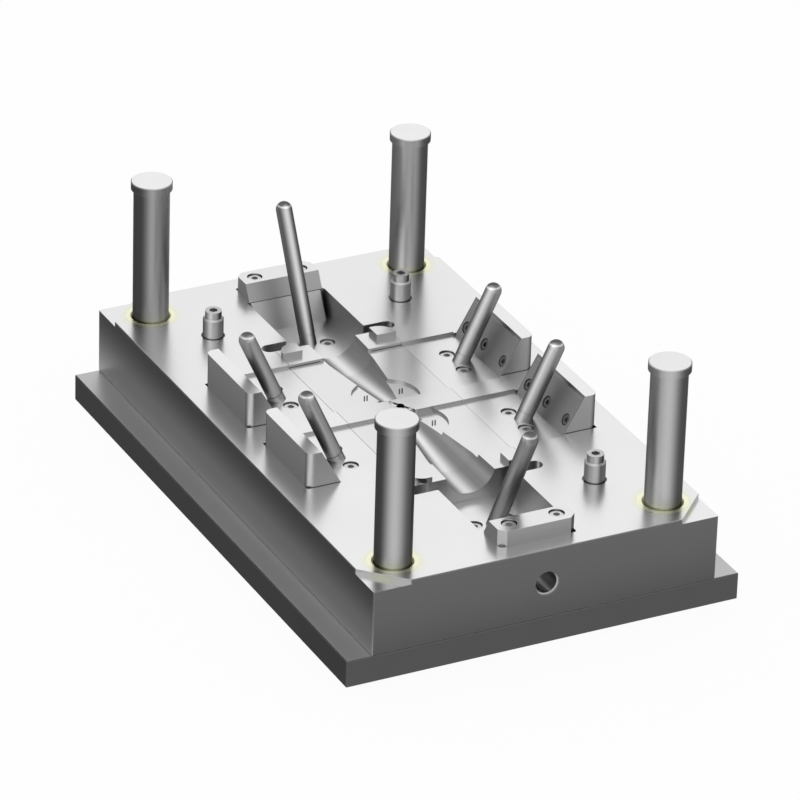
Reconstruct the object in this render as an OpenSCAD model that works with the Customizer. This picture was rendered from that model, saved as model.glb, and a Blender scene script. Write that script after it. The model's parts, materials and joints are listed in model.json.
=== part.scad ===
// Fixed half of a two-cavity plastic injection mould with side and end core pulls.
// The origin is the centre of the clamp plate's back face, where the locating ring sits.
// +Z points at the parting face, Y runs along the mould and X across it.

/* [Plates] */
// Width of the cavity plate
plate_w = 350; // [330:1:400]
// Length of both plates
plate_l = 600; // [560:1:680]
// Thickness of the cavity plate
cavity_t = 70; // [68:1:90]
// Thickness of the clamp plate
clamp_t = 27; // [26:1:40]
// How far the clamp plate stands out past each long side
clamp_lip = 25; // [10:1:40]
// Chamfer round the edges of both plates
plate_chamfer = 0.8; // [0.4:0.1:1.5]
// Legs of the pry pockets at the corners of the parting face
pry_leg = 38; // [30:1:40]
// Depth of the pry pockets
pry_depth = 4.7; // [3:0.1:6]

/* [Guide pins] */
// Distance of the guide pins from the long sides of the cavity plate
guide_side = 37.5; // [36:0.5:40]
// Distance of the guide pins from the ends of the plates
guide_edge = 38; // [37:0.5:42]
// Diameter of the guide pin shaft
guide_d = 35; // [30:1:36]
// Height of the guide pins over the parting face
guide_rise = 143.8; // [120:0.2:170]
// Diameter of the guide pin head
guide_head_d = 40; // [38:1:44]
// Thickness of the guide pin head
guide_head_t = 8; // [5:0.5:12]
// Outer diameter of the guide bush
bush_d = 48; // [45:1:52]
// Diameter of the shoulder at the back of the bush
bush_head_d = 54; // [53:1:58]
// Thickness of the shoulder at the back of the bush
bush_head_t = 8; // [5:0.5:12]
// Diameter of the bush mouth, where its chamfer starts
bush_mouth_d = 39; // [37:0.5:42]
// Running clearance between pin and bush, on the radius
guide_gap = 0.03; // [0.01:0.01:0.1]
// Gap under the foot of a guide pin at rest
guide_foot_gap = 0.3; // [0.2:0.1:0.5]

/* [Cavity insert] */
// Half width of the insert
insert_x = 60; // [57:0.5:62]
// Half length of the insert
insert_y = 146; // [140:0.5:150]
// Thickness of the insert
insert_t = 45; // [40:1:46]
// Corner radius of the insert
insert_r = 17; // [12:0.5:20]
// Clearance round the insert
insert_gap = 0.05; // [0.02:0.01:0.15]
// Height of the corner interlocks over the parting face
lock_pad_h = 5.5; // [4:0.1:8]
// Distance of the corner interlocks from the middle, across
lock_pad_x = 39.5; // [36:0.5:42]
// Length of a corner interlock along the mould
lock_pad_l = 17.5; // [14:0.5:22]

/* [Cavities] */
// Height of the moulded part's axis over the parting face
axis_rise = 6; // [4:0.2:8]
// Distance from the middle to the small end of a cavity
cavity_start = 22; // [18:0.5:26]
// Distance from the middle to where the cavity's steep taper ends
cavity_knee = 104; // [90:1:120]
// Radius of the moulded part at its small end
cavity_r_small = 14; // [12:0.2:15]
// Radius of the moulded part where the steep taper ends
cavity_r_knee = 24.4; // [20:0.2:25]
// Radius of the moulded part at its large end
cavity_r_large = 25.6; // [25.2:0.1:27]
// Radius of the sunken disc round a cavity's small end
disc_r = 33; // [28:0.5:35]
// Distance of the sunken disc's centre from the middle
disc_y = 29; // [25:0.5:32]
// Depth of the sunken disc under the slide recess
disc_depth = 2.4; // [1:0.1:4]
// Radius of the runners
runner_r = 2.4; // [1.5:0.1:3]
// Diameter of the sprue where it opens on the parting face
sprue_d = 8.6; // [6:0.2:10]
// Diameter of the sprue where the nozzle meets it
sprue_d_small = 3.5; // [2.5:0.1:5]

/* [Side slide stations] */
// Distance from the middle to a side slide's centre line, along
slide_y = 64; // [62:0.5:66]
// Width of a side slide's recess, along the mould
slide_w = 102; // [98:0.5:106]
// Depth of a side slide's recess
slide_depth = 3; // [2:0.1:6]
// Diameter of the angle pins
angle_pin_d = 16; // [14:0.5:18]
// Distance from the middle to a side angle pin, where it leaves the recess
side_pin_x = 97.3; // [94:0.1:100]
// Lean of the side angle pins
side_pin_lean = 25; // [20:0.5:26]
// Height of a side angle pin's tip centre over the parting face
side_pin_rise = 65; // [50:1:80]
// Length of a side heel block along the mould
side_heel_l = 95; // [90:0.5:98]
// Distance from the middle to a side heel block's outer face
side_heel_x = 149.5; // [146:0.5:156]
// Width of a side heel block's top face
side_heel_top = 13.5; // [12:0.5:18]
// Height of a side heel block over the parting face
side_heel_h = 35; // [30:0.5:45]
// How deep a side heel block is let into the cavity plate
side_heel_sink = 20; // [16:0.5:22]
// Lean of a side heel block's inner face
side_heel_lean = 30; // [26:0.5:32]
// Radius of the side heel blocks' outer corners
heel_r = 7; // [4:0.5:8]
// Thickness of the wear plate let into a side heel block
wear_t = 8; // [7.5:0.5:9]
// Steel left beside a wear plate at both ends of its block
wear_margin = 2.5; // [2:0.1:3]
// Steel left above a wear plate
wear_lip = 3; // [2:0.5:4]
// Distance of the outer wear plate screws from the ends of the block
wear_screw_edge = 9.5; // [9.5:0.5:12]

/* [End slide stations] */
// Half width of an end pocket
end_pocket_x = 41; // [40:0.5:44]
// Depth of an end pocket
end_pocket_depth = 27; // [22:0.5:28]
// Half width of the cross slot beside the insert
cross_slot_x = 70; // [66:0.5:74]
// Width of the cross slot
cross_slot_w = 15; // [12:0.5:17]
// Distance from an end heel block's inner edge to the angle pin, at the pocket floor
end_pin_reach = 51.4; // [50:0.1:54]
// Lean of the end angle pins
end_pin_lean = 27; // [20:0.5:28]
// Height of an end angle pin's tip centre over the parting face
end_pin_rise = 89.5; // [70:0.5:100]
// Half width of an end heel block
end_heel_x = 39; // [37:0.5:39.5]
// Distance of an end heel block's outer face from the end of the plate
end_heel_edge = 19; // [16:0.5:22]
// Width of an end heel block where it stands on the parting face
end_heel_w = 33; // [30:0.5:36]
// Chamfer on the upright outer edges of an end heel block
end_heel_chamfer = 6.5; // [4:0.5:8]
// Height of an end heel block over the parting face
end_heel_h = 16; // [12:0.5:24]
// How deep an end heel block is let into the cavity plate
end_heel_sink = 2; // [1:0.5:4]
// Lean of an end heel block's inner face and of the wear wedge under it
end_heel_lean = 29; // [22:0.5:30]
// Half width of the wear wedge under an end heel block
end_wear_x = 38.5; // [37:0.5:38.5]
// Chamfer on the long edges of a wear wedge
end_wear_chamfer = 2; // [1:0.5:3]
// Gap between a wear wedge and the heel block over it
end_wear_drop = 0.8; // [0.4:0.1:1]

/* [Parting locks] */
// Distance from a guide pin to its parting lock, across
lock_in_x = 37.5; // [36:0.5:40]
// Distance from a guide pin to its parting lock, along
lock_in_y = 62; // [60:1:70]
// Outer diameter of a parting lock's sleeve
lock_d = 20; // [18:0.5:21]
// Height of the sleeve over the parting face
lock_sleeve_h = 20; // [16:0.5:24]
// Diameter of the recess round the sleeve's foot
lock_recess_d = 23; // [22.5:0.5:26]
// Depth of the recess round the sleeve's foot
lock_recess_depth = 3; // [2:0.5:6]

/* [Back of the mould] */
// Diameter of the locating ring
ring_d = 100; // [98:1:120]
// How far the locating ring stands out of the clamp plate
ring_proud = 10; // [6:0.5:14]
// How deep the locating ring is let into the clamp plate
ring_sink = 5; // [4:0.5:7]
// Diameter of the spigot that locates the ring in the clamp plate
ring_spigot_d = 92; // [90:1:94]
// Diameter of the opening in the locating ring
ring_bore_d = 36; // [30:1:38]
// Diameter of the sprue bush's head
sprue_head_d = 44; // [40:1:50]
// Thickness of the sprue bush's head
sprue_head_t = 14; // [10:1:16]
// Diameter of the sprue bush's stem
sprue_stem_d = 18; // [16:0.5:22]
// Distance of the clamp plate screws from the long sides of the cavity plate
clamp_screw_side = 25; // [20:1:30]
// Distance of the outer clamp plate screws from the ends of the plates
clamp_screw_edge = 110; // [100:1:120]
// Distance of the two dowels from the middle, across
dowel_x = 75; // [70:1:80]
// Distance of the two dowels from the ends of the plates
dowel_edge = 16; // [14:1:24]
// Diameter of the dowels
dowel_d = 12; // [10:1:16]
// Diameter of the eyebolt holes in the end faces
eyebolt_d = 21; // [17:0.5:22]
// Depth of the eyebolt holes
eyebolt_depth = 38; // [30:1:40]

/* [Fasteners] */
// Shank diameter of the pin seat and end heel screws
m8_d = 8; // [8:8]
// Shank diameter of the wear plate, wear wedge and locating ring screws
m6_d = 6; // [6:6]
// Shank diameter of the heel block and insert screws
m10_d = 10; // [10:10]
// Shank diameter of the clamp plate screws
m16_d = 16; // [16:16]
// Clearance round a screw head, on the radius
screw_gap = 1; // [0.5:0.05:1.1]
// How deep the screw heads on show are sunk
screw_sink = 1.5; // [0.5:0.1:2]
// Distance from a pin seat screw to the pin's centre plane
seat_screw_pitch = 17.5; // [16:0.5:19]
// How far the pin seat screws sit inboard of the pin, at its floor
seat_screw_inset = 6.5; // [5:0.5:8]
// Thickness of a pin seat
seat_t = 20; // [18:0.5:21]
// Half length of a pin seat across its screws
seat_half = 27; // [26:0.5:29]

/* [Hidden] */
$fn = 64;
eps = 0.01;
slip = 0.05;
parting = clamp_t + cavity_t;
side_floor = parting - slide_depth;
end_floor = parting - end_pocket_depth;
insert_floor = parting - insert_t;
guide_r = guide_d / 2;
guide_x = plate_w / 2 - guide_side;
guide_y = plate_l / 2 - guide_edge;
lock_x = guide_x - lock_in_x;
lock_y = guide_y - lock_in_y;
lock_head_seat = 3;
lock_grip = 28;
lock_thread = 32;
angle_r = angle_pin_d / 2;
angle_fit = 8;
angle_groove_w = 1.2;
angle_groove_depth = 0.4;
angle_head_r = angle_r + 3;
angle_head_t = 10;
angle_foot = 10;
angle_above = 20;
slide_near = slide_y - slide_w / 2;
slide_far = slide_y + slide_w / 2;
side_heel_near = slide_y - side_heel_l / 2;
side_heel_far = slide_y + side_heel_l / 2;
side_heel_in = side_heel_x - side_heel_top;
side_heel_foot = side_heel_in - tan(side_heel_lean) * (side_heel_h + slide_depth);
side_heel_screw_in = 14;
side_heel_screw_pitch = 28;
side_heel_grip = 16;
side_heel_screw_l = cavity_t - side_heel_sink - m10_d + side_heel_grip;
heel_gap = 0.8;
wear_x = wear_t / cos(side_heel_lean);
wear_head_h = 4.5;
wear_screw_sink = 1;
wear_screw_l = 14;
wear_screw_up = 11;
wear_screw_spare = 6;
end_heel_y = plate_l / 2 - end_heel_edge;
end_heel_inner = end_heel_y - end_heel_w;
end_wear_reach = 1.5;
end_heel_step = end_wear_reach + 2 * slip;
end_heel_r = 3;
end_heel_screw_x = 24.2;
end_heel_screw_in = 13;
end_heel_grip = 12;
end_heel_screw_l = end_heel_h + end_heel_grip;
end_pin_y = end_heel_inner - end_pin_reach;
end_pocket_near = insert_y;
end_pocket_r = 4;
end_pocket_foot = end_heel_inner - tan(end_heel_lean) * end_pocket_depth;
end_wear_back = end_heel_inner + end_wear_reach;
end_wear_corner = 2.5;
end_wear_screw_x = 24;
end_wear_screw_in = 6;
end_wear_grip = 8;
end_wear_screw_l = end_floor - clamp_t - m6_d + end_wear_grip;
seat_wall = 1.2;
seat_floor = 4;
side_seat_in = side_pin_x - tan(side_pin_lean) * (side_floor - clamp_t) - angle_head_r - seat_wall;
side_seat_out = side_pin_x - seat_screw_inset + m8_d;
end_seat_in = end_pin_y - tan(end_pin_lean) * (end_floor - clamp_t) - angle_head_r - seat_wall;
end_seat_out = end_pin_y - seat_screw_inset + m8_d;
side_screw_l = side_floor - screw_sink - m8_d - clamp_t - seat_floor;
end_screw_l = end_floor - screw_sink - m8_d - clamp_t - seat_floor;
insert_screw_x = 42;
insert_screw_y = 112;
insert_screw_l = 34;
cavity_past = 4;
clamp_screw_x = plate_w / 2 - clamp_screw_side;
clamp_screw_y = plate_l / 2 - clamp_screw_edge;
clamp_grip = 28;
clamp_screw_l = clamp_t - m16_d + clamp_grip;
clamp_screw_sink = 1;
ring_clear = 1;
ring_funnel = 6;
ring_lead = 2;
ring_screw_sink = 1;
ring_screw_pcd = 78;
ring_screw_l = 18;
sprue_seat_r = 12;
sprue_seat_sink = 4;
eyebolt_z = clamp_t + cavity_t / 2;
eyebolt_chamfer = 1.6;
dowel_y = plate_l / 2 - dowel_edge;
dowel_l = 34;
runner_lift = 0.4;
RUNNER_KNEE = [-7, 12];
RUNNER_GATE = [-9, cavity_start + 3];
slit_start = 27;
slit_w = 0.8;
slit_depth = 1.5;
hole_spare = 1;

// The four corners of the mould as signs of X and Y
FRONT_LEFT = [-1, -1];
FRONT_RIGHT = [1, -1];
BACK_LEFT = [-1, 1];
BACK_RIGHT = [1, 1];
CORNERS = [FRONT_LEFT, FRONT_RIGHT, BACK_LEFT, BACK_RIGHT];
ENDS = [-1, 1];

// Puts what is drawn in the +X, +Y corner into another corner
module to_corner(corner) {
    mirror([corner[0] < 0 ? 1 : 0, 0, 0])
        mirror([0, corner[1] < 0 ? 1 : 0, 0])
            children();
}

// Puts what is drawn at the +Y end at either end
module to_end(side) {
    mirror([0, side < 0 ? 1 : 0, 0]) children();
}

// Rectangular plate, centred in X and Y, with chamfered edges all round
module chamfered_plate(w, l, t, c) {
    intersection() {
        linear_extrude(t) chamfered_outline(w, l, c);
        translate([0, l / 2, t / 2])
            rotate([90, 0, 0]) linear_extrude(l) chamfered_outline(w, t, c);
        translate([-w / 2, 0, t / 2])
            rotate([90, 0, 90]) linear_extrude(w) chamfered_outline(l, t, c);
    }
}

// Rectangle with its corners cut at 45 degrees
module chamfered_outline(w, l, c) {
    x = w / 2;
    y = l / 2;
    polygon([
        [x - c, -y], [x, c - y], [x, y - c], [x - c, y],
        [c - x, y], [-x, y - c], [-x, c - y], [c - x, -y]
    ]);
}

// Slab from corner [x0, y0] to [x1, y1], with rounded upright edges
module rounded_slab(x0, x1, y0, y1, h, r) {
    linear_extrude(h) {
        translate([x0 + r, y0]) square([x1 - x0 - 2 * r, y1 - y0]);
        translate([x0, y0 + r]) square([x1 - x0, y1 - y0 - 2 * r]);
        for (x = [x0 + r, x1 - r], y = [y0 + r, y1 - r])
            translate([x, y]) circle(r);
    }
}

// Head radius and height of a socket head cap screw
function cap_r(d) = 0.75 * d + 0.5;
function cap_h(d) = d;

// Socket head cap screw with the top of its head at the origin, pointing down
module cap_screw(d, l, head_h) {
    difference() {
        union() {
            translate([0, 0, -head_h]) cylinder(r = cap_r(d), h = head_h);
            translate([0, 0, -head_h - l]) cylinder(d = d, h = l + eps);
        }
        translate([0, 0, -0.4 * d]) cylinder(d = 0.86 * d, h = d, $fn = 6);
    }
}

// Counterbored hole that takes a cap screw with its head flush at the origin
module cap_screw_hole(d, l, head_h, above = 1) {
    translate([0, 0, -head_h]) cylinder(r = cap_r(d) + screw_gap, h = head_h + above);
    translate([0, 0, -head_h - l]) cylinder(r = d / 2 + slip, h = l + eps);
}

// Leans what is drawn on the Z axis outwards, about a point
module lean_x(x, z, a) {
    translate([x, slide_y, z]) rotate([0, a, 0]) children();
}

module lean_y(y, z, a) {
    translate([0, y, z]) rotate([-a, 0, 0]) children();
}

// Angle pin on the Z axis: its floor point at the origin, a fitted shank and a head below,
// and above a narrow groove the free part that guides a slide, with a round tip
module angle_pin_body(up, down) {
    foot = down + angle_foot;
    rotate_extrude()
        difference() {
            intersection() {
                union() {
                    translate([0, -foot]) square([angle_r, up + foot]);
                    translate([0, up]) circle(angle_r);
                    translate([0, -foot]) square([angle_head_r, angle_foot + angle_head_t]);
                }
                translate([0, -foot]) square([angle_head_r, up + foot + angle_r]);
            }
            translate([angle_r - angle_groove_depth, angle_fit - angle_groove_w])
                square([angle_r, angle_groove_w]);
        }
}

// The hole for an angle pin's shaft and the pocket for its head
module angle_pin_hole(down) {
    foot = down + angle_foot;
    translate([0, 0, -foot]) cylinder(r = angle_r + slip, h = foot + angle_above);
    translate([0, 0, -foot]) cylinder(r = angle_head_r + slip, h = angle_foot + angle_head_t + slip);
}

function side_down() = (side_floor - clamp_t) / cos(side_pin_lean);
function end_down() = (end_floor - clamp_t) / cos(end_pin_lean);
function side_up() = (side_pin_rise + slide_depth) / cos(side_pin_lean);
function end_up() = (end_pin_rise + end_pocket_depth) / cos(end_pin_lean);

// Everything over the back face of the cavity plate
module above_clamp_plate() {
    translate([-plate_w / 2, -plate_l / 2, clamp_t]) cube([plate_w, plate_l, plate_w]);
}

// Places of the two screws of a side pin seat and of an end pin seat
module at_side_seat_screws() {
    for (s = ENDS)
        translate([side_pin_x - seat_screw_inset, slide_y + s * seat_screw_pitch, side_floor]) children();
}

module at_end_seat_screws() {
    for (s = ENDS)
        translate([s * seat_screw_pitch, end_pin_y - seat_screw_inset, end_floor]) children();
}

module side_seat_block(grow) {
    translate([side_seat_in - grow, slide_y - seat_half - grow, clamp_t - grow])
        cube([side_seat_out - side_seat_in + 2 * grow, 2 * (seat_half + grow), seat_t + grow]);
}

module end_seat_block(grow) {
    translate([-seat_half - grow, end_seat_in - grow, clamp_t - grow])
        cube([2 * (seat_half + grow), end_seat_out - end_seat_in + 2 * grow, seat_t + grow]);
}

// Upright profile of a side heel block, in X and Z from the parting face
module side_heel_profile() {
    polygon([
        [side_heel_in, side_heel_h], [side_heel_x, side_heel_h], [side_heel_x, -side_heel_sink],
        [side_heel_foot, -side_heel_sink], [side_heel_foot, -slide_depth]
    ]);
}

// Profile of a side wear plate, which may reach further out at the front and at the top
module wear_profile(front = 0, top = 0) {
    z = side_heel_h - wear_lip + top;
    x = side_heel_foot + tan(side_heel_lean) * (z + slide_depth);
    polygon([
        [x - front, z], [x + wear_x, z],
        [side_heel_foot + wear_x, -slide_depth], [side_heel_foot - front, -slide_depth]
    ]);
}

// Draws a profile given in X and Z along Y
module along_y(y0, y1) {
    translate([0, y1, parting]) rotate([90, 0, 0]) linear_extrude(y1 - y0) children();
}

// Places of the wear plate screws, on the inclined face and square to it
module at_wear_screws() {
    pitch = side_heel_l / 2 - wear_screw_edge;
    x = side_heel_foot + tan(side_heel_lean) * slide_depth + sin(side_heel_lean) * wear_screw_up;
    for (s = [-1, 0, 1])
        translate([x, slide_y + s * pitch, parting + cos(side_heel_lean) * wear_screw_up])
            rotate([0, side_heel_lean - 90, 0]) children();
}

// Places of the hidden screws that pull a side heel block down
module at_side_heel_screws() {
    for (s = ENDS)
        translate([side_heel_x - side_heel_screw_in, slide_y + s * side_heel_screw_pitch, clamp_t])
            children();
}

// Places of the two screws on top of an end heel block
module at_end_heel_screws() {
    for (s = ENDS)
        translate([s * end_heel_screw_x, end_heel_y - end_heel_screw_in, parting + end_heel_h])
            children();
}

// Places of the hidden screws that pull a wear wedge down
module at_end_wear_screws() {
    for (s = ENDS)
        translate([s * end_wear_screw_x, end_heel_inner - end_wear_screw_in, clamp_t])
            rotate([180, 0, 0]) children();
}

// Steel of the moulded parts that the cavity plate's insert forms
module cavity_form() {
    for (side = ENDS)
        to_end(side)
            translate([0, 0, parting + axis_rise])
                rotate([-90, 0, 0])
                    rotate_extrude()
                        polygon([
                            [0, cavity_start], [cavity_r_small, cavity_start],
                            [cavity_r_knee, cavity_knee], [cavity_r_large, insert_y],
                            [cavity_r_large, insert_y + cavity_past], [0, insert_y + cavity_past]
                        ]);
}

// The shallow recesses that the side slides close on, with a raised land between them
module slide_recess(x_out) {
    for (side = ENDS)
        to_end(side)
            translate([-x_out, slide_near, side_floor]) cube([2 * x_out, slide_w, slide_depth + 1]);
}

// Sunken disc round a cavity's small end, open to the slide recess only
module sunken_disc() {
    for (side = ENDS)
        to_end(side)
            intersection() {
                translate([0, disc_y, side_floor - disc_depth]) cylinder(r = disc_r, h = disc_depth + 1);
                translate([-disc_r, slide_near, side_floor - disc_depth])
                    cube([2 * disc_r, 2 * disc_r, disc_depth + 1]);
            }
}

// Thin slits in the insert at the foot of the outer recess walls
module foot_slits() {
    for (corner = CORNERS)
        to_corner(corner)
            translate([slit_start, slide_far - slit_w, side_floor - slit_depth])
                cube([insert_x, slit_w, slit_depth + 1]);
}

// Runners from the sprue to the side of each cavity's small end
module runners() {
    for (turn = [0, 180])
        rotate([0, 0, turn]) {
            runner_leg([0, 0], RUNNER_KNEE, parting);
            runner_leg(RUNNER_KNEE, RUNNER_GATE, side_floor - disc_depth);
            translate([RUNNER_KNEE[0], RUNNER_KNEE[1], side_floor - disc_depth])
                cylinder(r = runner_r + 0.3, h = slide_depth + disc_depth + 1);
        }
}

// Half-round channel between two points, in a surface at the given height
module runner_leg(from, to, z) {
    d = to - from;
    translate([from[0], from[1], z + runner_lift])
        rotate([0, 90, atan2(d[1], d[0])])
            cylinder(r = runner_r, h = norm(d));
}

// Tapered hole through the sprue bush and the insert
module sprue_hole() {
    translate([0, 0, ring_sink])
        cylinder(r1 = sprue_d_small / 2, r2 = sprue_d / 2, h = parting - ring_sink + eps);
}

// Outline of the insert, standing on its floor
module insert_body(grow, h) {
    translate([0, 0, insert_floor])
        rounded_slab(-insert_x - grow, insert_x + grow, -insert_y - grow, insert_y + grow,
            h, insert_r + grow);
}

// Raised locks on the four corners of the insert, which fit the other half's insert
module lock_pads() {
    intersection() {
        insert_body(0, insert_t + lock_pad_h);
        for (corner = CORNERS)
            to_corner(corner)
                translate([lock_pad_x, insert_y - lock_pad_l, parting - 1])
                    cube([insert_x, lock_pad_l + 1, lock_pad_h + 1]);
    }
}

module cavity_insert() {
    color("gainsboro")
        difference() {
            union() {
                insert_body(0, insert_t);
                lock_pads();
            }
            slide_recess(insert_x + 1);
            foot_slits();
            sunken_disc();
            cavity_form();
            runners();
            sprue_bush_space();
            at_insert_screws() insert_screw_thread();
        }
}

module at_insert_screws() {
    for (x = [-1, 1], y = [-1, 0, 1])
        translate([x * insert_screw_x, y * insert_screw_y, clamp_t]) rotate([180, 0, 0]) children();
}

module insert_screw_thread() {
    translate([0, 0, -m10_d - insert_screw_l]) cylinder(r = m10_d / 2 + slip, h = insert_screw_l);
}

module insert_screws() {
    color("dimgray")
        at_insert_screws() cap_screw(m10_d, insert_screw_l - hole_spare, m10_d);
}

// Everything that is cut out of the cavity plate for one side station
module side_station_cuts() {
    lean_x(side_pin_x, side_floor, side_pin_lean) angle_pin_hole(side_down());
    side_seat_block(slip);
    at_side_seat_screws() cap_screw_hole(m8_d, side_screw_l, m8_d + screw_sink);
    translate([0, 0, parting - side_heel_sink])
        rounded_slab(side_heel_foot - slip, side_heel_x + slip, side_heel_near - heel_gap,
            side_heel_far + heel_gap, side_heel_sink + 1, heel_gap);
    at_side_heel_screws() rotate([180, 0, 0]) cap_screw_hole(m10_d, side_heel_screw_l, m10_d);
}

// Everything that is cut out of the cavity plate for one end station
module end_station_cuts() {
    slot_r = cross_slot_w / 2;
    translate([0, 0, end_floor])
        rounded_slab(-end_pocket_x, end_pocket_x, end_pocket_near - 1, end_wear_back + slip,
            end_pocket_depth + 1, end_pocket_r);
    translate([0, end_pocket_near + slot_r, end_floor]) {
        translate([slot_r - cross_slot_x, -slot_r, 0])
            cube([2 * (cross_slot_x - slot_r), cross_slot_w, end_pocket_depth + 1]);
        for (s = ENDS)
            translate([s * (cross_slot_x - slot_r), 0, 0])
                cylinder(r = slot_r, h = end_pocket_depth + 1);
    }
    lean_y(end_pin_y, end_floor, end_pin_lean) angle_pin_hole(end_down());
    end_seat_block(slip);
    at_end_seat_screws() cap_screw_hole(m8_d, end_screw_l, m8_d + screw_sink);
    end_heel_pocket();
    at_end_heel_screws()
        translate([0, 0, -screw_sink - m8_d - end_heel_screw_l])
            cylinder(r = m8_d / 2 + slip, h = end_heel_screw_l);
    at_end_wear_screws() cap_screw_hole(m6_d, end_wear_screw_l, m6_d);
    translate([0, plate_l / 2, eyebolt_z]) rotate([90, 0, 0]) {
        translate([0, 0, -1]) cylinder(d = eyebolt_d, h = eyebolt_depth + 1);
        translate([0, 0, -eps])
            cylinder(d1 = eyebolt_d + 2 * eyebolt_chamfer, d2 = eyebolt_d, h = eyebolt_chamfer);
    }
}

// Shallow pocket for an end heel block, which runs on into the end pocket
module end_heel_pocket() {
    translate([0, 0, parting - end_heel_sink])
        rounded_slab(-end_heel_x - slip, end_heel_x + slip,
            end_wear_back - 3 * end_heel_r, end_heel_y + slip, end_heel_sink + 1, end_heel_r);
}

// Bore for a guide bush, with room for its shoulder at the back
module guide_bush_space() {
    translate([guide_x, guide_y, clamp_t - 1]) {
        cylinder(r = bush_d / 2 + slip, h = cavity_t + 2);
        cylinder(r = bush_head_d / 2 + slip, h = bush_head_t + 1);
    }
}

module parting_lock_space() {
    translate([lock_x, lock_y, parting - lock_recess_depth])
        cylinder(d = lock_recess_d, h = lock_recess_depth + 1);
    translate([lock_x, lock_y, parting - lock_thread])
        cylinder(r = m10_d / 2 + slip, h = lock_thread - lock_recess_depth + eps);
}

module pry_pocket() {
    x = plate_w / 2;
    y = plate_l / 2;
    translate([0, 0, parting - pry_depth])
        linear_extrude(pry_depth + 1)
            polygon([[x + 1, y - pry_leg - 1], [x + 1, y + 1], [x - pry_leg - 1, y + 1]]);
}

module at_clamp_screws() {
    for (x = [-1, 1], y = [-1, 0, 1])
        translate([x * clamp_screw_x, y * clamp_screw_y, 0]) rotate([180, 0, 0]) children();
}

module at_dowels() {
    for (s = ENDS)
        translate([s * dowel_x, s * dowel_y, clamp_t - dowel_l / 2]) children();
}

module dowel_spaces() {
    at_dowels() cylinder(r = dowel_d / 2 + slip, h = dowel_l);
}

// Room for the sprue bush's stem, from the clamp plate up to the parting face
module sprue_bush_space() {
    translate([0, 0, clamp_t - 1]) cylinder(r = sprue_stem_d / 2 + slip, h = cavity_t + 2);
}

module cavity_plate() {
    color("silver")
        difference() {
            translate([0, 0, clamp_t]) chamfered_plate(plate_w, plate_l, cavity_t, plate_chamfer);
            insert_body(insert_gap, insert_t + 1);
            slide_recess(side_heel_foot);
            sprue_bush_space();
            at_insert_screws() cap_screw_hole(m10_d, insert_screw_l, m10_d);
            at_clamp_screws() cap_screw_hole(m16_d, clamp_screw_l, m16_d + clamp_screw_sink);
            dowel_spaces();
            for (corner = CORNERS)
                to_corner(corner) {
                    side_station_cuts();
                    guide_bush_space();
                    parting_lock_space();
                    pry_pocket();
                }
            for (side = ENDS)
                to_end(side) end_station_cuts();
        }
}

module clamp_plate() {
    color("darkgray")
        difference() {
            chamfered_plate(plate_w + 2 * clamp_lip, plate_l, clamp_t, plate_chamfer);
            translate([0, 0, -1]) cylinder(r = ring_d / 2 + slip, h = ring_clear + 1);
            translate([0, 0, -1]) cylinder(d = ring_spigot_d + 2 * slip, h = ring_sink + 1);
            translate([0, 0, -1]) cylinder(d = sprue_head_d + 2 * slip, h = ring_sink + sprue_head_t + 1);
            translate([0, 0, -1]) cylinder(d = sprue_stem_d + 2 * slip, h = clamp_t + 2);
            at_clamp_screws() cap_screw_hole(m16_d, clamp_screw_l, m16_d + clamp_screw_sink);
            at_ring_screws() cap_screw_hole(m6_d, ring_screw_l, m6_d);
            dowel_spaces();
        }
}

module clamp_plate_screws() {
    color("dimgray")
        at_clamp_screws()
            translate([0, 0, -clamp_screw_sink]) cap_screw(m16_d, clamp_screw_l - hole_spare, m16_d);
}

module at_ring_screws() {
    for (a = [45 : 90 : 315])
        rotate([0, 0, a]) translate([ring_screw_pcd / 2, 0, -ring_proud]) rotate([180, 0, 0]) children();
}

module locating_ring() {
    color("darkgray")
        difference() {
            rotate_extrude()
                polygon([
                    [ring_bore_d / 2, ring_sink], [ring_bore_d / 2, 0],
                    [ring_bore_d / 2 + ring_funnel, -ring_proud], [ring_d / 2 - ring_lead, -ring_proud],
                    [ring_d / 2, ring_lead - ring_proud], [ring_d / 2, 0],
                    [ring_spigot_d / 2, 0], [ring_spigot_d / 2, ring_sink]
                ]);
            at_ring_screws() cap_screw_hole(m6_d, ring_screw_l, m6_d + ring_screw_sink);
        }
}

module locating_ring_screws() {
    color("dimgray")
        at_ring_screws()
            translate([0, 0, -ring_screw_sink])
                cap_screw(m6_d, ring_screw_l - ring_screw_sink - hole_spare, m6_d);
}

module sprue_bush() {
    color("silver")
        difference() {
            union() {
                translate([0, 0, ring_sink]) cylinder(d = sprue_head_d, h = sprue_head_t);
                translate([0, 0, ring_sink]) cylinder(d = sprue_stem_d, h = parting - ring_sink);
            }
            sprue_hole();
            runners();
            translate([0, 0, ring_sink - sprue_seat_r + sprue_seat_sink]) sphere(r = sprue_seat_r);
        }
}

module dowel_pins() {
    color("gainsboro")
        at_dowels() cylinder(r = dowel_d / 2, h = dowel_l - hole_spare);
}

module guide_bush(corner) {
    mouth = (bush_mouth_d - guide_d) / 2;
    color("burlywood")
        to_corner(corner)
            translate([guide_x, guide_y, clamp_t])
                rotate_extrude()
                    polygon([
                        [guide_r, 0], [bush_head_d / 2, 0], [bush_head_d / 2, bush_head_t],
                        [bush_d / 2, bush_head_t], [bush_d / 2, cavity_t],
                        [guide_r + mouth, cavity_t], [guide_r, cavity_t - mouth]
                    ]);
}

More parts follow.
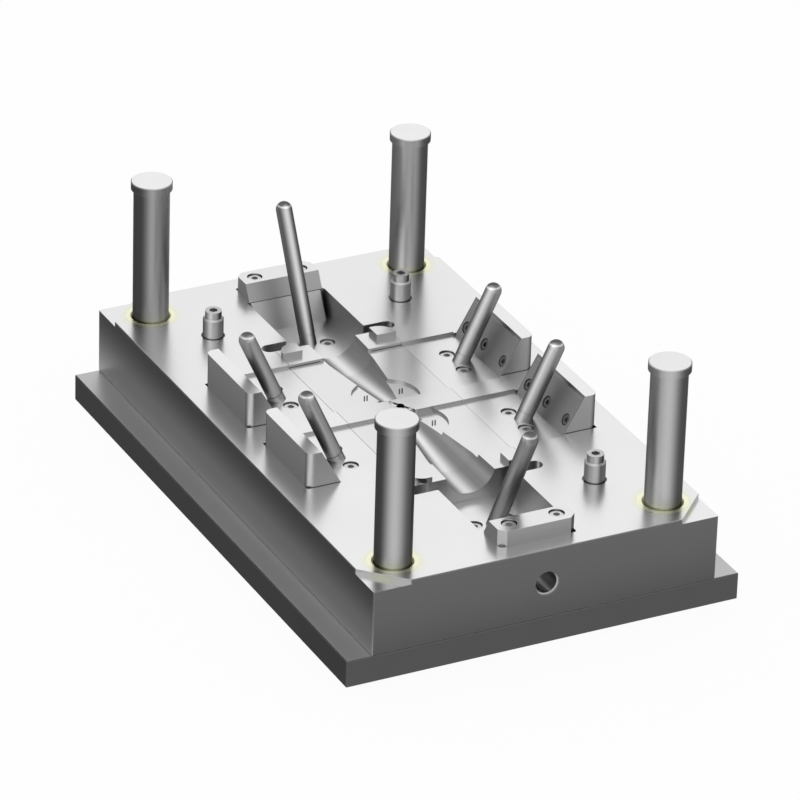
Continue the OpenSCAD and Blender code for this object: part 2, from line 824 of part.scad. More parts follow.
module guide_pin(corner) {
    r = guide_r - guide_gap;
    nose = 3;
    color("silver")
        to_corner(corner)
            translate([guide_x, guide_y, clamp_t + guide_foot_gap])
                rotate_extrude()
                    polygon([
                        [0, 0], [r - nose, 0], [r, 2 * nose],
                        [r, cavity_t + guide_rise - guide_head_t - guide_foot_gap],
                        [guide_head_d / 2, cavity_t + guide_rise - guide_head_t - guide_foot_gap],
                        [guide_head_d / 2, cavity_t + guide_rise - guide_foot_gap - 0.8],
                        [guide_head_d / 2 - 0.8, cavity_t + guide_rise - guide_foot_gap],
                        [0, cavity_t + guide_rise - guide_foot_gap]
                    ]);
}

module side_angle_pin(corner) {
    color("silver")
        to_corner(corner)
            intersection() {
                lean_x(side_pin_x, side_floor, side_pin_lean) angle_pin_body(side_up(), side_down());
                above_clamp_plate();
            }
}

module end_angle_pin(side) {
    color("silver")
        to_end(side)
            intersection() {
                lean_y(end_pin_y, end_floor, end_pin_lean) angle_pin_body(end_up(), end_down());
                above_clamp_plate();
            }
}

module side_pin_seat(corner) {
    color("gray")
        to_corner(corner)
            difference() {
                side_seat_block(0);
                lean_x(side_pin_x, side_floor, side_pin_lean) angle_pin_hole(side_down());
                at_side_seat_screws() cap_screw_hole(m8_d, side_screw_l, m8_d + screw_sink);
            }
}

module end_pin_seat(side) {
    color("gray")
        to_end(side)
            difference() {
                end_seat_block(0);
                lean_y(end_pin_y, end_floor, end_pin_lean) angle_pin_hole(end_down());
                at_end_seat_screws() cap_screw_hole(m8_d, end_screw_l, m8_d + screw_sink);
            }
}

module pin_seat_screws() {
    color("dimgray") {
        for (corner = CORNERS)
            to_corner(corner)
                at_side_seat_screws()
                    translate([0, 0, -screw_sink]) cap_screw(m8_d, side_screw_l - hole_spare, m8_d);
        for (side = ENDS)
            to_end(side)
                at_end_seat_screws()
                    translate([0, 0, -screw_sink]) cap_screw(m8_d, end_screw_l - hole_spare, m8_d);
    }
}

// Footprint of a side heel block, with round outer corners
module side_heel_footprint() {
    intersection() {
        translate([0, 0, parting - side_heel_sink])
            rounded_slab(side_heel_foot - 4 * heel_r, side_heel_x, side_heel_near, side_heel_far,
                side_heel_sink + side_heel_h, heel_r);
        translate([side_heel_foot, side_heel_near, parting - side_heel_sink])
            cube([2 * side_heel_h, side_heel_l, side_heel_sink + side_heel_h]);
    }
}

module side_heel_block(corner) {
    color("gainsboro")
        to_corner(corner)
            difference() {
                intersection() {
                    along_y(side_heel_near, side_heel_far) side_heel_profile();
                    side_heel_footprint();
                }
                along_y(side_heel_near + wear_margin - slip, side_heel_far - wear_margin + slip)
                    wear_profile(1, slip);
                at_wear_screws() cylinder(r = m6_d / 2 + slip, h = 2 * wear_screw_l, center = true);
                at_side_heel_screws() rotate([180, 0, 0]) cap_screw_hole(m10_d, side_heel_screw_l, m10_d);
            }
}

module side_wear_plate(corner) {
    color("silver")
        to_corner(corner)
            difference() {
                along_y(side_heel_near + wear_margin, side_heel_far - wear_margin) wear_profile();
                at_wear_screws()
                    translate([0, 0, -wear_screw_sink])
                        cap_screw_hole(m6_d, wear_screw_l, wear_head_h, wear_screw_sink + 1);
            }
}

module wear_plate_screws() {
    color("dimgray")
        for (corner = CORNERS)
            to_corner(corner)
                at_wear_screws()
                    translate([0, 0, -wear_screw_sink])
                        cap_screw(m6_d, wear_screw_l - wear_screw_spare, wear_head_h);
}

module side_heel_screws() {
    color("dimgray")
        for (corner = CORNERS)
            to_corner(corner)
                at_side_heel_screws()
                    rotate([180, 0, 0]) cap_screw(m10_d, side_heel_screw_l - hole_spare, m10_d);
}

// Upright profile of an end heel block, in Y and Z from the parting face
module end_heel_profile() {
    polygon([
        [end_heel_inner + tan(end_heel_lean) * end_heel_h, end_heel_h], [end_heel_y, end_heel_h],
        [end_heel_y, -end_heel_sink], [end_heel_inner + end_heel_step, -end_heel_sink],
        [end_heel_inner + end_heel_step, 0], [end_heel_inner, 0]
    ]);
}

// Footprint reaching from one Y to another, with its corners at the far end cut off
module far_chamfered(x, y0, y1, c) {
    polygon([[-x, y0], [x, y0], [x, y1 - c], [x - c, y1], [c - x, y1], [-x, y1 - c]]);
}

module end_heel_block(side) {
    color("gainsboro")
        to_end(side)
            difference() {
                intersection() {
                    translate([-2 * end_heel_x, 0, parting])
                        rotate([90, 0, 90]) linear_extrude(4 * end_heel_x) end_heel_profile();
                    translate([0, 0, parting - end_heel_sink - 1])
                        linear_extrude(end_heel_h + end_heel_sink + 2)
                            far_chamfered(end_heel_x, end_heel_inner - 1, end_heel_y, end_heel_chamfer);
                }
                at_end_heel_screws()
                    translate([0, 0, -screw_sink])
                        cap_screw_hole(m8_d, end_heel_screw_l, m8_d, screw_sink + 1);
            }
}

module end_heel_screws() {
    color("dimgray")
        for (side = ENDS)
            to_end(side)
                at_end_heel_screws()
                    translate([0, 0, -screw_sink]) cap_screw(m8_d, end_heel_screw_l - hole_spare, m8_d);
}

// Wedge that carries an end heel block's inclined face down to the pocket floor
module end_wear_wedge(side) {
    x = end_wear_x;
    c = end_wear_chamfer;
    back = 2 * end_pocket_depth;
    color("gainsboro")
        to_end(side)
            difference() {
                intersection() {
                    translate([0, 0, end_floor])
                        linear_extrude(end_pocket_depth - end_wear_drop)
                            far_chamfered(x, end_pocket_foot - 1, end_wear_back, end_wear_corner);
                    lean_y(end_heel_inner, parting, end_heel_lean)
                        translate([0, 0, -back])
                            linear_extrude(2 * back)
                                polygon([
                                    [c - x, 0], [x - c, 0], [x, c],
                                    [x, back], [-x, back], [-x, c]
                                ]);
                }
                at_end_wear_screws() cap_screw_hole(m6_d, end_wear_screw_l, m6_d);
            }
}

module end_wear_screws() {
    color("dimgray")
        for (side = ENDS)
            to_end(side)
                at_end_wear_screws() cap_screw(m6_d, end_wear_screw_l - hole_spare, m6_d);
}

module parting_lock_sleeve(corner) {
    base = parting - lock_recess_depth;
    top = lock_recess_depth + lock_sleeve_h;
    color("whitesmoke")
        to_corner(corner)
            translate([lock_x, lock_y, base])
                rotate_extrude()
                    polygon([
                        [m10_d / 2 + slip, 0], [lock_d / 2 - 0.6, 0], [lock_d / 2, 0.6],
                        [lock_d / 2, top - 1.5], [lock_d / 2 - 1.5, top], [cap_r(m10_d) + slip, top],
                        [cap_r(m10_d) + slip, top - lock_head_seat],
                        [m10_d / 2 + slip, top - lock_head_seat]
                    ]);
}

module parting_lock_screws() {
    color("dimgray")
        for (corner = CORNERS)
            to_corner(corner)
                translate([lock_x, lock_y, parting + lock_sleeve_h - lock_head_seat + m10_d])
                    cap_screw(m10_d, lock_sleeve_h + lock_grip - lock_head_seat, m10_d);
}

clamp_plate();
cavity_plate();
cavity_insert();
sprue_bush();
locating_ring();
locating_ring_screws();
clamp_plate_screws();
insert_screws();
dowel_pins();
guide_bush(FRONT_LEFT);  // guide_bush_front_left
guide_bush(FRONT_RIGHT);  // guide_bush_front_right
guide_bush(BACK_LEFT);  // guide_bush_back_left
guide_bush(BACK_RIGHT);  // guide_bush_back_right
guide_pin(FRONT_LEFT);  // guide_pin_front_left
guide_pin(FRONT_RIGHT);  // guide_pin_front_right
guide_pin(BACK_LEFT);  // guide_pin_back_left
guide_pin(BACK_RIGHT);  // guide_pin_back_right
side_angle_pin(FRONT_LEFT);  // side_angle_pin_front_left
side_angle_pin(FRONT_RIGHT);  // side_angle_pin_front_right
side_angle_pin(BACK_LEFT);  // side_angle_pin_back_left
side_angle_pin(BACK_RIGHT);  // side_angle_pin_back_right
end_angle_pin(-1);  // end_angle_pin_front
end_angle_pin(1);  // end_angle_pin_back
side_pin_seat(FRONT_LEFT);  // side_pin_seat_front_left
side_pin_seat(FRONT_RIGHT);  // side_pin_seat_front_right
side_pin_seat(BACK_LEFT);  // side_pin_seat_back_left
side_pin_seat(BACK_RIGHT);  // side_pin_seat_back_right
end_pin_seat(-1);  // end_pin_seat_front
end_pin_seat(1);  // end_pin_seat_back
pin_seat_screws();
side_heel_block(FRONT_LEFT);  // side_heel_block_front_left
side_heel_block(FRONT_RIGHT);  // side_heel_block_front_right
side_heel_block(BACK_LEFT);  // side_heel_block_back_left
side_heel_block(BACK_RIGHT);  // side_heel_block_back_right
side_wear_plate(FRONT_LEFT);  // side_wear_plate_front_left
side_wear_plate(FRONT_RIGHT);  // side_wear_plate_front_right
side_wear_plate(BACK_LEFT);  // side_wear_plate_back_left
side_wear_plate(BACK_RIGHT);  // side_wear_plate_back_right
wear_plate_screws();
side_heel_screws();
end_heel_block(-1);  // end_heel_block_front
end_heel_block(1);  // end_heel_block_back
end_heel_screws();
end_wear_wedge(-1);  // end_wear_wedge_front
end_wear_wedge(1);  // end_wear_wedge_back
end_wear_screws();
parting_lock_sleeve(FRONT_LEFT);  // parting_lock_sleeve_front_left
parting_lock_sleeve(FRONT_RIGHT);  // parting_lock_sleeve_front_right
parting_lock_sleeve(BACK_LEFT);  // parting_lock_sleeve_back_left
parting_lock_sleeve(BACK_RIGHT);  // parting_lock_sleeve_back_right
parting_lock_screws();
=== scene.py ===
"""Looks for the fixed half of a two-cavity plastic mould: machined steel, with its reflections and
shade painted into its colour, on a pale studio floor.
"""

import json
import logging
import math
from dataclasses import dataclass, field, replace
from enum import Enum
from typing import Any

import bmesh
import bpy
from mathutils import Matrix, Vector

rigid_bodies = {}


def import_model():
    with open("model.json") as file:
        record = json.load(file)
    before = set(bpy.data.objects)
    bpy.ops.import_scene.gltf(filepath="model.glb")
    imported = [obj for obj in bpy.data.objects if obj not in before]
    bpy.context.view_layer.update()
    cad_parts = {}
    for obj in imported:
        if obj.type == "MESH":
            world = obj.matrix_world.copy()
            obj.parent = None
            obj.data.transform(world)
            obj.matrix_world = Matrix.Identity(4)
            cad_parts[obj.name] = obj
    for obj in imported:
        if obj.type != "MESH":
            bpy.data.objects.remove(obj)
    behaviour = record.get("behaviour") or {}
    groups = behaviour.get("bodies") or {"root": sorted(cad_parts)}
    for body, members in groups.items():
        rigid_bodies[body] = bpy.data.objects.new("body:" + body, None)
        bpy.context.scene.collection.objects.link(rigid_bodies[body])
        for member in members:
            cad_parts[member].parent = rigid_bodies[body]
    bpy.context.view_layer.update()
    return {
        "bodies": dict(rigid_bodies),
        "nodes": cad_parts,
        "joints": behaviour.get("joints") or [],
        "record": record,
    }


LOG = logging.getLogger("mould")
MM = 0.001


class Corner(Enum):
    """The four corners of the mould, as signs along X and Y."""

    FRONT_LEFT = (-1, -1)
    FRONT_RIGHT = (1, -1)
    BACK_LEFT = (-1, 1)
    BACK_RIGHT = (1, 1)

    @property
    def tag(self) -> str:
        """The corner's name as it ends a node's name."""
        return self.name.lower()

    @property
    def on_left(self) -> bool:
        """Whether the corner is on the mould's left side."""
        return self.value[0] < 0


class End(Enum):
    """The two ends of the mould, as the sign along Y."""

    FRONT = -1
    BACK = 1

    @property
    def tag(self) -> str:
        """The end's name as it ends a node's name."""
        return self.name.lower()


class Lay(Enum):
    """Which way a surface's tool marks run, as a stretch of its coordinates."""

    ALONG_X = (0.02, 1.0, 0.02)
    ALONG_Y = (1.0, 0.02, 0.02)
    ROUND_Z = (0.02, 0.02, 1.0)
    ALL_WAYS = (1.0, 1.0, 1.0)


@dataclass(frozen=True)
class Extent:
    """The box of a node that is centred on the origin in X and Y.

    Args:
        half_x: Half its width.
        half_y: Half its length.
        low: Height of its lowest point.
        high: Height of its highest flat face.
    """

    half_x: float
    half_y: float
    low: float
    high: float

    @classmethod
    def of(cls, piece: bpy.types.Object) -> "Extent":
        """Measures an object's own mesh.

        Args:
            piece: The object that is measured.

        Returns:
            Its extent in metres.
        """
        points = [corner.co for corner in piece.data.vertices]
        return cls(max(p.x for p in points), max(p.y for p in points),
                   min(p.z for p in points), max(p.z for p in points))


def axis_place(piece: bpy.types.Object) -> tuple[float, float]:
    """Measures where the axis of an upright round piece stands.

    Args:
        piece: The round piece.

    Returns:
        The axis's X and Y in metres.
    """
    across, along = ([corner.co[i] for corner in piece.data.vertices] for i in (0, 1))
    return (min(across) + max(across)) / 2, (min(along) + max(along)) / 2


def linear(grey: float) -> tuple[float, float, float, float]:
    """A neutral colour of that linear brightness."""
    return (grey, grey, grey, 1.0)


@dataclass(frozen=True)
class RunnerShape:
    """Where the runners lie in the insert, and so where their painted shade goes.

    Args:
        land: Half width along Y of the raised land between the two slide recesses.
        land_drop: How far under the parting face the land's runners start.
        disc_drop: How far under the parting face the runners in the sunken discs start.
        reach: How far the runners go along X and Y.
    """

    land: float = 13.2 * MM
    land_drop: float = 0.2 * MM
    disc_drop: float = 5.7 * MM
    reach: tuple[float, float] = (12.0 * MM, 21.8 * MM)


RUNNERS = RunnerShape()
MARKS = (18.4 * MM, 34.6 * MM)  # the middle of a cavity's marks, from the middle planes
BUSH_GLOW_TINT = (1.0, 1.0, 0.72)  # pale yellow of a painted glow round each guide bush
BUSH_GLOW = (20.0 * MM, 31.0 * MM)  # where that painted glow is full and where it has faded out


class Nodes:
    """Short forms for wiring a node tree.

    Args:
        tree: The shader node tree that is wired.
    """

    def __init__(self, tree: bpy.types.NodeTree) -> None:
        """Keeps the tree."""
        self.tree = tree

    def add(self, kind: str, **settings: Any) -> bpy.types.Node:
        """Adds a node and sets its properties.

        Args:
            kind: The node's type name.
            **settings: Properties of the node, such as operation.

        Returns:
            The new node.
        """
        node = self.tree.nodes.new(kind)
        for name, value in settings.items():
            setattr(node, name, value)
        return node

    def join(self, source: bpy.types.NodeSocket, target: bpy.types.NodeSocket) -> None:
        """Links two sockets."""
        self.tree.links.new(source, target)

    def maths(self, operation: str, first: Any, second: Any = None) -> bpy.types.NodeSocket:
        """Adds a Math node.

        Args:
            operation: The Math node's operation.
            first: A socket or a number.
            second: A socket, a number or nothing.

        Returns:
            The node's output socket.
        """
        node = self.add("ShaderNodeMath", operation=operation)
        for socket, value in zip(node.inputs, (first, second)):
            if isinstance(value, bpy.types.NodeSocket):
                self.join(value, socket)
            elif value is not None:
                socket.default_value = value
        return node.outputs[0]

    def spread(self, value: bpy.types.NodeSocket, low: float, high: float) -> bpy.types.NodeSocket:
        """Maps a value from low..high to 0..1, held at both ends.

        Args:
            value: The socket that is mapped.
            low: What becomes 0.
            high: What becomes 1.

        Returns:
            The node's output socket.
        """
        node = self.add("ShaderNodeMapRange", clamp=True)
        self.join(value, node.inputs["Value"])
        node.inputs["From Min"].default_value = low
        node.inputs["From Max"].default_value = high
        return node.outputs["Result"]

    def blend(self, share: Any, low: Any, high: Any) -> bpy.types.NodeSocket:
        """Adds a Mix node for numbers.

        Args:
            share: How much of high there is, a socket or a number.
            low: The value at share 0.
            high: The value at share 1.

        Returns:
            The node's output socket.
        """
        node = self.add("ShaderNodeMix", data_type="FLOAT", clamp_factor=True)
        for socket, value in zip(node.inputs[:1] + node.inputs[2:4], (share, low, high)):
            if isinstance(value, bpy.types.NodeSocket):
                self.join(value, socket)
            else:
                socket.default_value = value
        return node.outputs[0]


def new_group(name: str, inputs: dict[str, float], outputs: tuple[str, ...],
              vectors: tuple[str, ...] = ()) -> tuple[bpy.types.NodeTree, Nodes, Any, Any]:
    """Makes an empty shader node group with float sockets.

    Args:
        name: The group's name.
        inputs: Each input's name and default value.
        outputs: The names of the outputs.
        vectors: The names of extra vector inputs.

    Returns:
        The group, its wiring helper, its input node and its output node.
    """
    group = bpy.data.node_groups.new(name, "ShaderNodeTree")
    for label in vectors:
        group.interface.new_socket(label, in_out="INPUT", socket_type="NodeSocketVector")
    for label, value in inputs.items():
        socket = group.interface.new_socket(label, in_out="INPUT", socket_type="NodeSocketFloat")
        socket.default_value = value
    for label in outputs:
        group.interface.new_socket(label, in_out="OUTPUT", socket_type="NodeSocketFloat")
    wires = Nodes(group)
    return group, wires, wires.add("NodeGroupInput"), wires.add("NodeGroupOutput")


class Effects:
    """The shader node groups that several finishes share.

    A pair is the low and the high end of what is spread over 0..1, if its comment says no more.
    Upness is the size of a normal's Z: 0 on an upright face, 1 on a level one.

    Args:
        plate: Extent of the cavity plate.
        insert: Extent of the cavity insert.
        guide: A guide pin's axis, from the middle planes.
    """

    EDGE_TURN = (0.01, 0.14)  # how far a softened normal turns at a broken edge
    SEAM_SHARES = (0.35, 0.75)  # how clearly the insert's joint shows on the right and the left
    LEVEL_FACE = (0.73, 0.93)  # upness, from a chamfer to a level face
    LEVEL_END = (0.66, 0.92)  # upness, from a pin's round tip to its level end
    NO_LENGTH = 0.0001  # keeps a level face from dividing by nothing
    LIGHT_BAND = 3.0  # strength of the painted light band, a reflection, on a left corner
    DARK_BAND = (10.0, 3.2)  # strength of the painted dark band on a left corner, and its limit
    DARK_TONE = 0.02  # brightness of that painted dark band
    TURN_BAND = 5.0  # strength of the painted dark band on a right corner
    TURN_TONE = 0.06  # brightness of that painted band
    LOBE = (0.6, 1.0)  # how squarely a pin's side faces its main painted reflection band
    BAND_SIDES = (-0.4, 0.4)  # from the left of a pin's main painted band to its right
    CROWN_AT = 0.6  # upness of the painted highlight line round a pin's tip
    CROWN_REACH = 0.14  # how far in upness that line fades
    HOLLOW_STOPS = {0.0: 0.3, 0.12: 0.36, 0.25: 0.24, 0.375: 0.24, 0.475: 0.38, 0.575: 0.65,
                    0.69: 0.95, 0.79: 0.95, 0.875: 0.65, 1.0: 0.4}  # painted reflection and shade across a cavity
    HOLLOW_WAY = (-1.1, 0.5)  # a wall's normal along X, over which those stops lie
    HOLLOW_END = 0.1  # how far the painted stops move at the two ends of the mould
    HOLLOW_UP = (0.04, 0.9998)  # upness between which a wall counts as curved
    LEVEL_FLOOR = 0.99  # upness over which a floor takes the marks

    def __init__(self, plate: Extent, insert: Extent, guide: tuple[float, float]) -> None:
        """Builds each group once."""
        self.grain = self._grain()
        self.stain = self._stain()
        self.edge = self._edge()
        self.seam = self._seam(insert)
        self.faces = self._faces(plate)
        self.bands = self._bands()
        self.cavities = self._cavities(plate, insert)
        self.fade = self._fade(guide)
        self.marks = self._marks()

    def _grain(self) -> bpy.types.NodeTree:
        """Fine tool marks, drawn out along one direction of a stretched coordinate."""
        group, wires, given, out = new_group(
            "tool_marks", {"Scale": 900.0, "Depth": 0.5}, ("Mark", "Height"), ("Place",))
        noise = wires.add("ShaderNodeTexNoise", noise_dimensions="3D")
        noise.inputs["Detail"].default_value = 3.0
        noise.inputs["Roughness"].default_value = 0.6
        wires.join(given.outputs["Place"], noise.inputs["Vector"])
        wires.join(given.outputs["Scale"], noise.inputs["Scale"])
        centred = wires.maths("SUBTRACT", noise.outputs["Fac"], 0.5)
        mark = wires.maths("MULTIPLY", centred, given.outputs["Depth"])
        wires.join(mark, out.inputs["Mark"])
        wires.join(noise.outputs["Fac"], out.inputs["Height"])
        return group

    def _stain(self) -> bpy.types.NodeTree:
        """Soft uneven patches, as oil and handling leave on steel."""
        group, wires, given, out = new_group(
            "handling_patches", {"Scale": 14.0, "Depth": 0.1}, ("Patch",), ("Place",))
        noise = wires.add("ShaderNodeTexNoise", noise_dimensions="3D")
        noise.inputs["Detail"].default_value = 4.0
        noise.inputs["Distortion"].default_value = 0.6
        wires.join(given.outputs["Place"], noise.inputs["Vector"])
        wires.join(given.outputs["Scale"], noise.inputs["Scale"])
        centred = wires.maths("SUBTRACT", noise.outputs["Fac"], 0.5)
        wires.join(wires.maths("MULTIPLY", centred, given.outputs["Depth"]), out.inputs["Patch"])
        return group

    def _edge(self) -> bpy.types.NodeTree:
        """A mask that is 1 on sharp edges, where the broken edges take a painted highlight or
        painted shade.
        """
        group, wires, given, out = new_group("broken_edges", {"Width": 0.6 * MM}, ("Edge",))
        bevel = wires.add("ShaderNodeBevel", samples=4)
        wires.join(given.outputs["Width"], bevel.inputs["Radius"])
        true = wires.add("ShaderNodeNewGeometry")
        dot = wires.add("ShaderNodeVectorMath", operation="DOT_PRODUCT")
        wires.join(bevel.outputs["Normal"], dot.inputs[0])
        wires.join(true.outputs["Normal"], dot.inputs[1])
        away = wires.maths("SUBTRACT", 1.0, dot.outputs["Value"])
        wires.join(wires.spread(away, *self.EDGE_TURN), out.inputs["Edge"])
        return group

    def _seam(self, insert: Extent) -> bpy.types.NodeTree:
        """A mask for the joint round the insert, which shows more on its left side."""
        group, wires, given, out = new_group(
            "fitted_seam", {"Width": 0.3 * MM}, ("Seam",), ("Place",))
        parts = wires.add("ShaderNodeSeparateXYZ")
        wires.join(given.outputs["Place"], parts.inputs["Vector"])
        gaps = []
        for axis, half in (("X", insert.half_x), ("Y", insert.half_y)):
            far = wires.maths("ABSOLUTE", parts.outputs[axis])
            gaps.append(wires.maths("SUBTRACT", far, half))
        outside = wires.maths("ABSOLUTE", wires.maths("MAXIMUM", *gaps))
        near = wires.maths("LESS_THAN", outside, given.outputs["Width"])
        left = wires.maths("LESS_THAN", parts.outputs["X"], 0.0)
        shown = wires.blend(left, *self.SEAM_SHARES)
        wires.join(wires.maths("MULTIPLY", near, shown), out.inputs["Seam"])
        return group

    def _looks(self, wires: Nodes) -> tuple[bpy.types.Node, bpy.types.Node]:
        """The parts of a surface's own direction and of its place on the object.

        Args:
            wires: The wiring helper of the tree that asks.

        Returns:
            The split normal and the split place.
        """
        place = wires.add("ShaderNodeTexCoord")
        normal = wires.add("ShaderNodeSeparateXYZ")
        wires.join(place.outputs["Normal"], normal.inputs["Vector"])
        spot = wires.add("ShaderNodeSeparateXYZ")
        wires.join(place.outputs["Object"], spot.inputs["Vector"])
        return normal, spot

    def _faces(self, plate: Extent) -> bpy.types.NodeTree:
        """Painted reflection and shade on a flat face: its tone by the way it faces and by its
        height over the clamp plate.
        """
        group, wires, given, out = new_group(
            "painted_face_shading", {"Top": 0.8, "X Low": 0.1, "X High": 0.1, "Y Low": 0.1, "Y High": 0.1,
                           "Corner": 0.0, "Inner": 0.3, "Bounded": 0.0}, ("Tone", "Flat"))
        normal, spot = self._looks(wires)
        flat = wires.spread(wires.maths("ABSOLUTE", normal.outputs["Z"]), *self.LEVEL_FACE)
        # painted reflection: upright faces change brightness from the clamp plate up to the parting
        # face
        rise = wires.spread(spot.outputs["Z"], plate.low, plate.high)
        low = wires.maths("POWER", wires.maths("SUBTRACT", 1.0, rise), 2.0)
        across = wires.maths("POWER", wires.maths("ABSOLUTE", normal.outputs["X"]), 2.0)
        along = wires.maths("POWER", wires.maths("ABSOLUTE", normal.outputs["Y"]), 2.0)
        whole = wires.maths("ADD", wires.maths("ADD", across, along), self.NO_LENGTH)
        share = wires.maths("DIVIDE", along, whole)
        tone_x = wires.blend(low, given.outputs["X High"], given.outputs["X Low"])
        tone_y = wires.blend(low, given.outputs["Y High"], given.outputs["Y Low"])
        side = wires.blend(share, tone_x, tone_y)
        right = wires.maths("GREATER_THAN", normal.outputs["X"], 0.0)
        side = self._corners(wires, share, right, given.outputs["Corner"], side)
        # painted shade on upright faces inside the plate's outline, and a painted highlight on
        # those that look to the right
        inside = []
        for axis, half in (("X", plate.half_x), ("Y", plate.half_y)):
            far = wires.maths("ABSOLUTE", spot.outputs[axis])
            inside.append(wires.maths("LESS_THAN", far, half - MM / 2))
        inner = wires.maths("MULTIPLY", wires.maths("MULTIPLY", *inside), given.outputs["Bounded"])
        lit = wires.blend(wires.maths("MULTIPLY", right, across), given.outputs["Inner"], 1.0)
        side = wires.blend(inner, side, lit)
        wires.join(wires.blend(flat, side, given.outputs["Top"]), out.inputs["Tone"])
        wires.join(flat, out.inputs["Flat"])
        return group

    def _corners(self, wires: Nodes, share: bpy.types.NodeSocket, right: bpy.types.NodeSocket,
                 amount: bpy.types.NodeSocket, side: bpy.types.NodeSocket) -> bpy.types.NodeSocket:
        """Painted reflections: a dark and a light band down each rounded corner on the left, a dark
        one on the right.

        Args:
            wires: The wiring helper of the tree that asks.
            share: 0 for a face across X, 1 for one across Y.
            right: 1 where the face looks to the right.
            amount: How strongly the painted corner bands show.
            side: The tone without them.

        Returns:
            The tone with them.
        """
        rest = wires.maths("SUBTRACT", 1.0, share)
        light = wires.maths("MULTIPLY", wires.maths("POWER", share, 1.5), wires.maths("SQRT", rest))
        dark = wires.maths("MULTIPLY", wires.maths("POWER", rest, 6.0), wires.maths("SQRT", share))
        left = wires.maths("SUBTRACT", 1.0, right)
        strength, most = self.DARK_BAND
        much = wires.maths("MINIMUM", wires.maths("MULTIPLY", amount, strength), most)
        dark = wires.maths("MULTIPLY", wires.maths("MULTIPLY", dark, much), left)
        side = wires.blend(dark, side, self.DARK_TONE)
        glint = wires.maths("MULTIPLY", wires.maths("MULTIPLY", light, left), amount)
        side = wires.maths("ADD", side, wires.maths("MULTIPLY", glint, self.LIGHT_BAND))
        both = wires.maths("SQRT", wires.maths("MULTIPLY", share, rest))
        turn = wires.maths("MULTIPLY", wires.maths("MULTIPLY", both, right), amount)
        return wires.blend(wires.maths("MULTIPLY", turn, self.TURN_BAND), side, self.TURN_TONE)

    def _bands(self) -> bpy.types.NodeTree:
        """The tone of a ground round pin: painted reflections in soft bands along its length, and a
        painted highlight ring below a round tip.
        """
        group, wires, given, out = new_group(
            "painted_pin_bands", {"Top": 0.8, "Left": 0.08, "Right": 0.08, "Middle": 0.5, "Crown": 0.0,
                            "Sharpness": 2.9}, ("Tone", "Flat"), ("Way", "Across"))
        normal, _ = self._looks(wires)
        up = wires.maths("ABSOLUTE", normal.outputs["Z"])
        flat = wires.spread(up, *self.LEVEL_END)
        level = wires.add("ShaderNodeCombineXYZ")
        wires.join(normal.outputs["X"], level.inputs["X"])
        wires.join(normal.outputs["Y"], level.inputs["Y"])
        unit = wires.add("ShaderNodeVectorMath", operation="NORMALIZE")
        wires.join(level.outputs["Vector"], unit.inputs[0])
        parts = []
        for label in ("Way", "Across"):
            dot = wires.add("ShaderNodeVectorMath", operation="DOT_PRODUCT")
            wires.join(unit.outputs["Vector"], dot.inputs[0])
            wires.join(given.outputs[label], dot.inputs[1])
            parts.append(dot.outputs["Value"])
        facing = wires.spread(wires.maths("ABSOLUTE", parts[0]), *self.LOBE)
        lobe = wires.maths("POWER", facing, given.outputs["Sharpness"])
        right = wires.spread(parts[1], *self.BAND_SIDES)
        edge = wires.blend(right, given.outputs["Left"], given.outputs["Right"])
        side = wires.blend(lobe, edge, given.outputs["Middle"])
        off = wires.maths("ABSOLUTE", wires.maths("SUBTRACT", up, self.CROWN_AT))
        ring = wires.spread(off, self.CROWN_REACH, 0.0)
        crown = wires.maths("MULTIPLY", ring, given.outputs["Crown"])
        tone = wires.blend(flat, side, given.outputs["Top"])
        wires.join(wires.maths("ADD", tone, crown), out.inputs["Tone"])
        wires.join(flat, out.inputs["Flat"])
        return group

    def _cavities(self, plate: Extent, insert: Extent) -> bpy.types.NodeTree:
        """Painted reflection and shade inside the cavities, by the way that the wall faces across,
        and painted shade down in the runners.
        """
        group, wires, given, out = new_group("painted_cavity_shading", {"Runner": 0.5}, ("Tone", "Mask"))
        normal, spot = self._looks(wires)
        ramp = wires.add("ShaderNodeValToRGB")
        while len(ramp.color_ramp.elements) < len(self.HOLLOW_STOPS):
            ramp.color_ramp.elements.new(0.5)
        for stop, (place, grey) in zip(ramp.color_ramp.elements, self.HOLLOW_STOPS.items()):
            stop.position = place
            stop.color = linear(grey)
        end = wires.maths("MULTIPLY", wires.maths("SIGN", spot.outputs["Y"]), self.HOLLOW_END)
        way = wires.maths("ADD", normal.outputs["X"], end)
        wires.join(wires.spread(way, *self.HOLLOW_WAY), ramp.inputs["Fac"])
        up = wires.maths("ABSOLUTE", normal.outputs["Z"])
        rounded = wires.maths("MULTIPLY", wires.maths("GREATER_THAN", up, self.HOLLOW_UP[0]),
                              wires.maths("LESS_THAN", up, self.HOLLOW_UP[1]))
        high = wires.maths("GREATER_THAN", spot.outputs["Z"], (insert.low + insert.high) / 2)
        far_x, far_y = (wires.maths("ABSOLUTE", spot.outputs[axis]) for axis in ("X", "Y"))
        land = wires.maths("LESS_THAN", far_y, RUNNERS.land)
        under = wires.blend(land, plate.high - RUNNERS.disc_drop, plate.high - RUNNERS.land_drop)
        deep = wires.maths("LESS_THAN", spot.outputs["Z"], under)
        beside = wires.maths("MULTIPLY", wires.maths("LESS_THAN", far_x, RUNNERS.reach[0]),
                             wires.maths("LESS_THAN", far_y, RUNNERS.reach[1]))
        runner = wires.maths("MULTIPLY", deep, beside)
        # painted shade down in the runners
        tone = wires.blend(runner, ramp.outputs["Color"], given.outputs["Runner"])
        wires.join(tone, out.inputs["Tone"])
        wires.join(wires.maths("MULTIPLY", wires.maths("MAXIMUM", rounded, runner), high),
                   out.inputs["Mask"])
        return group

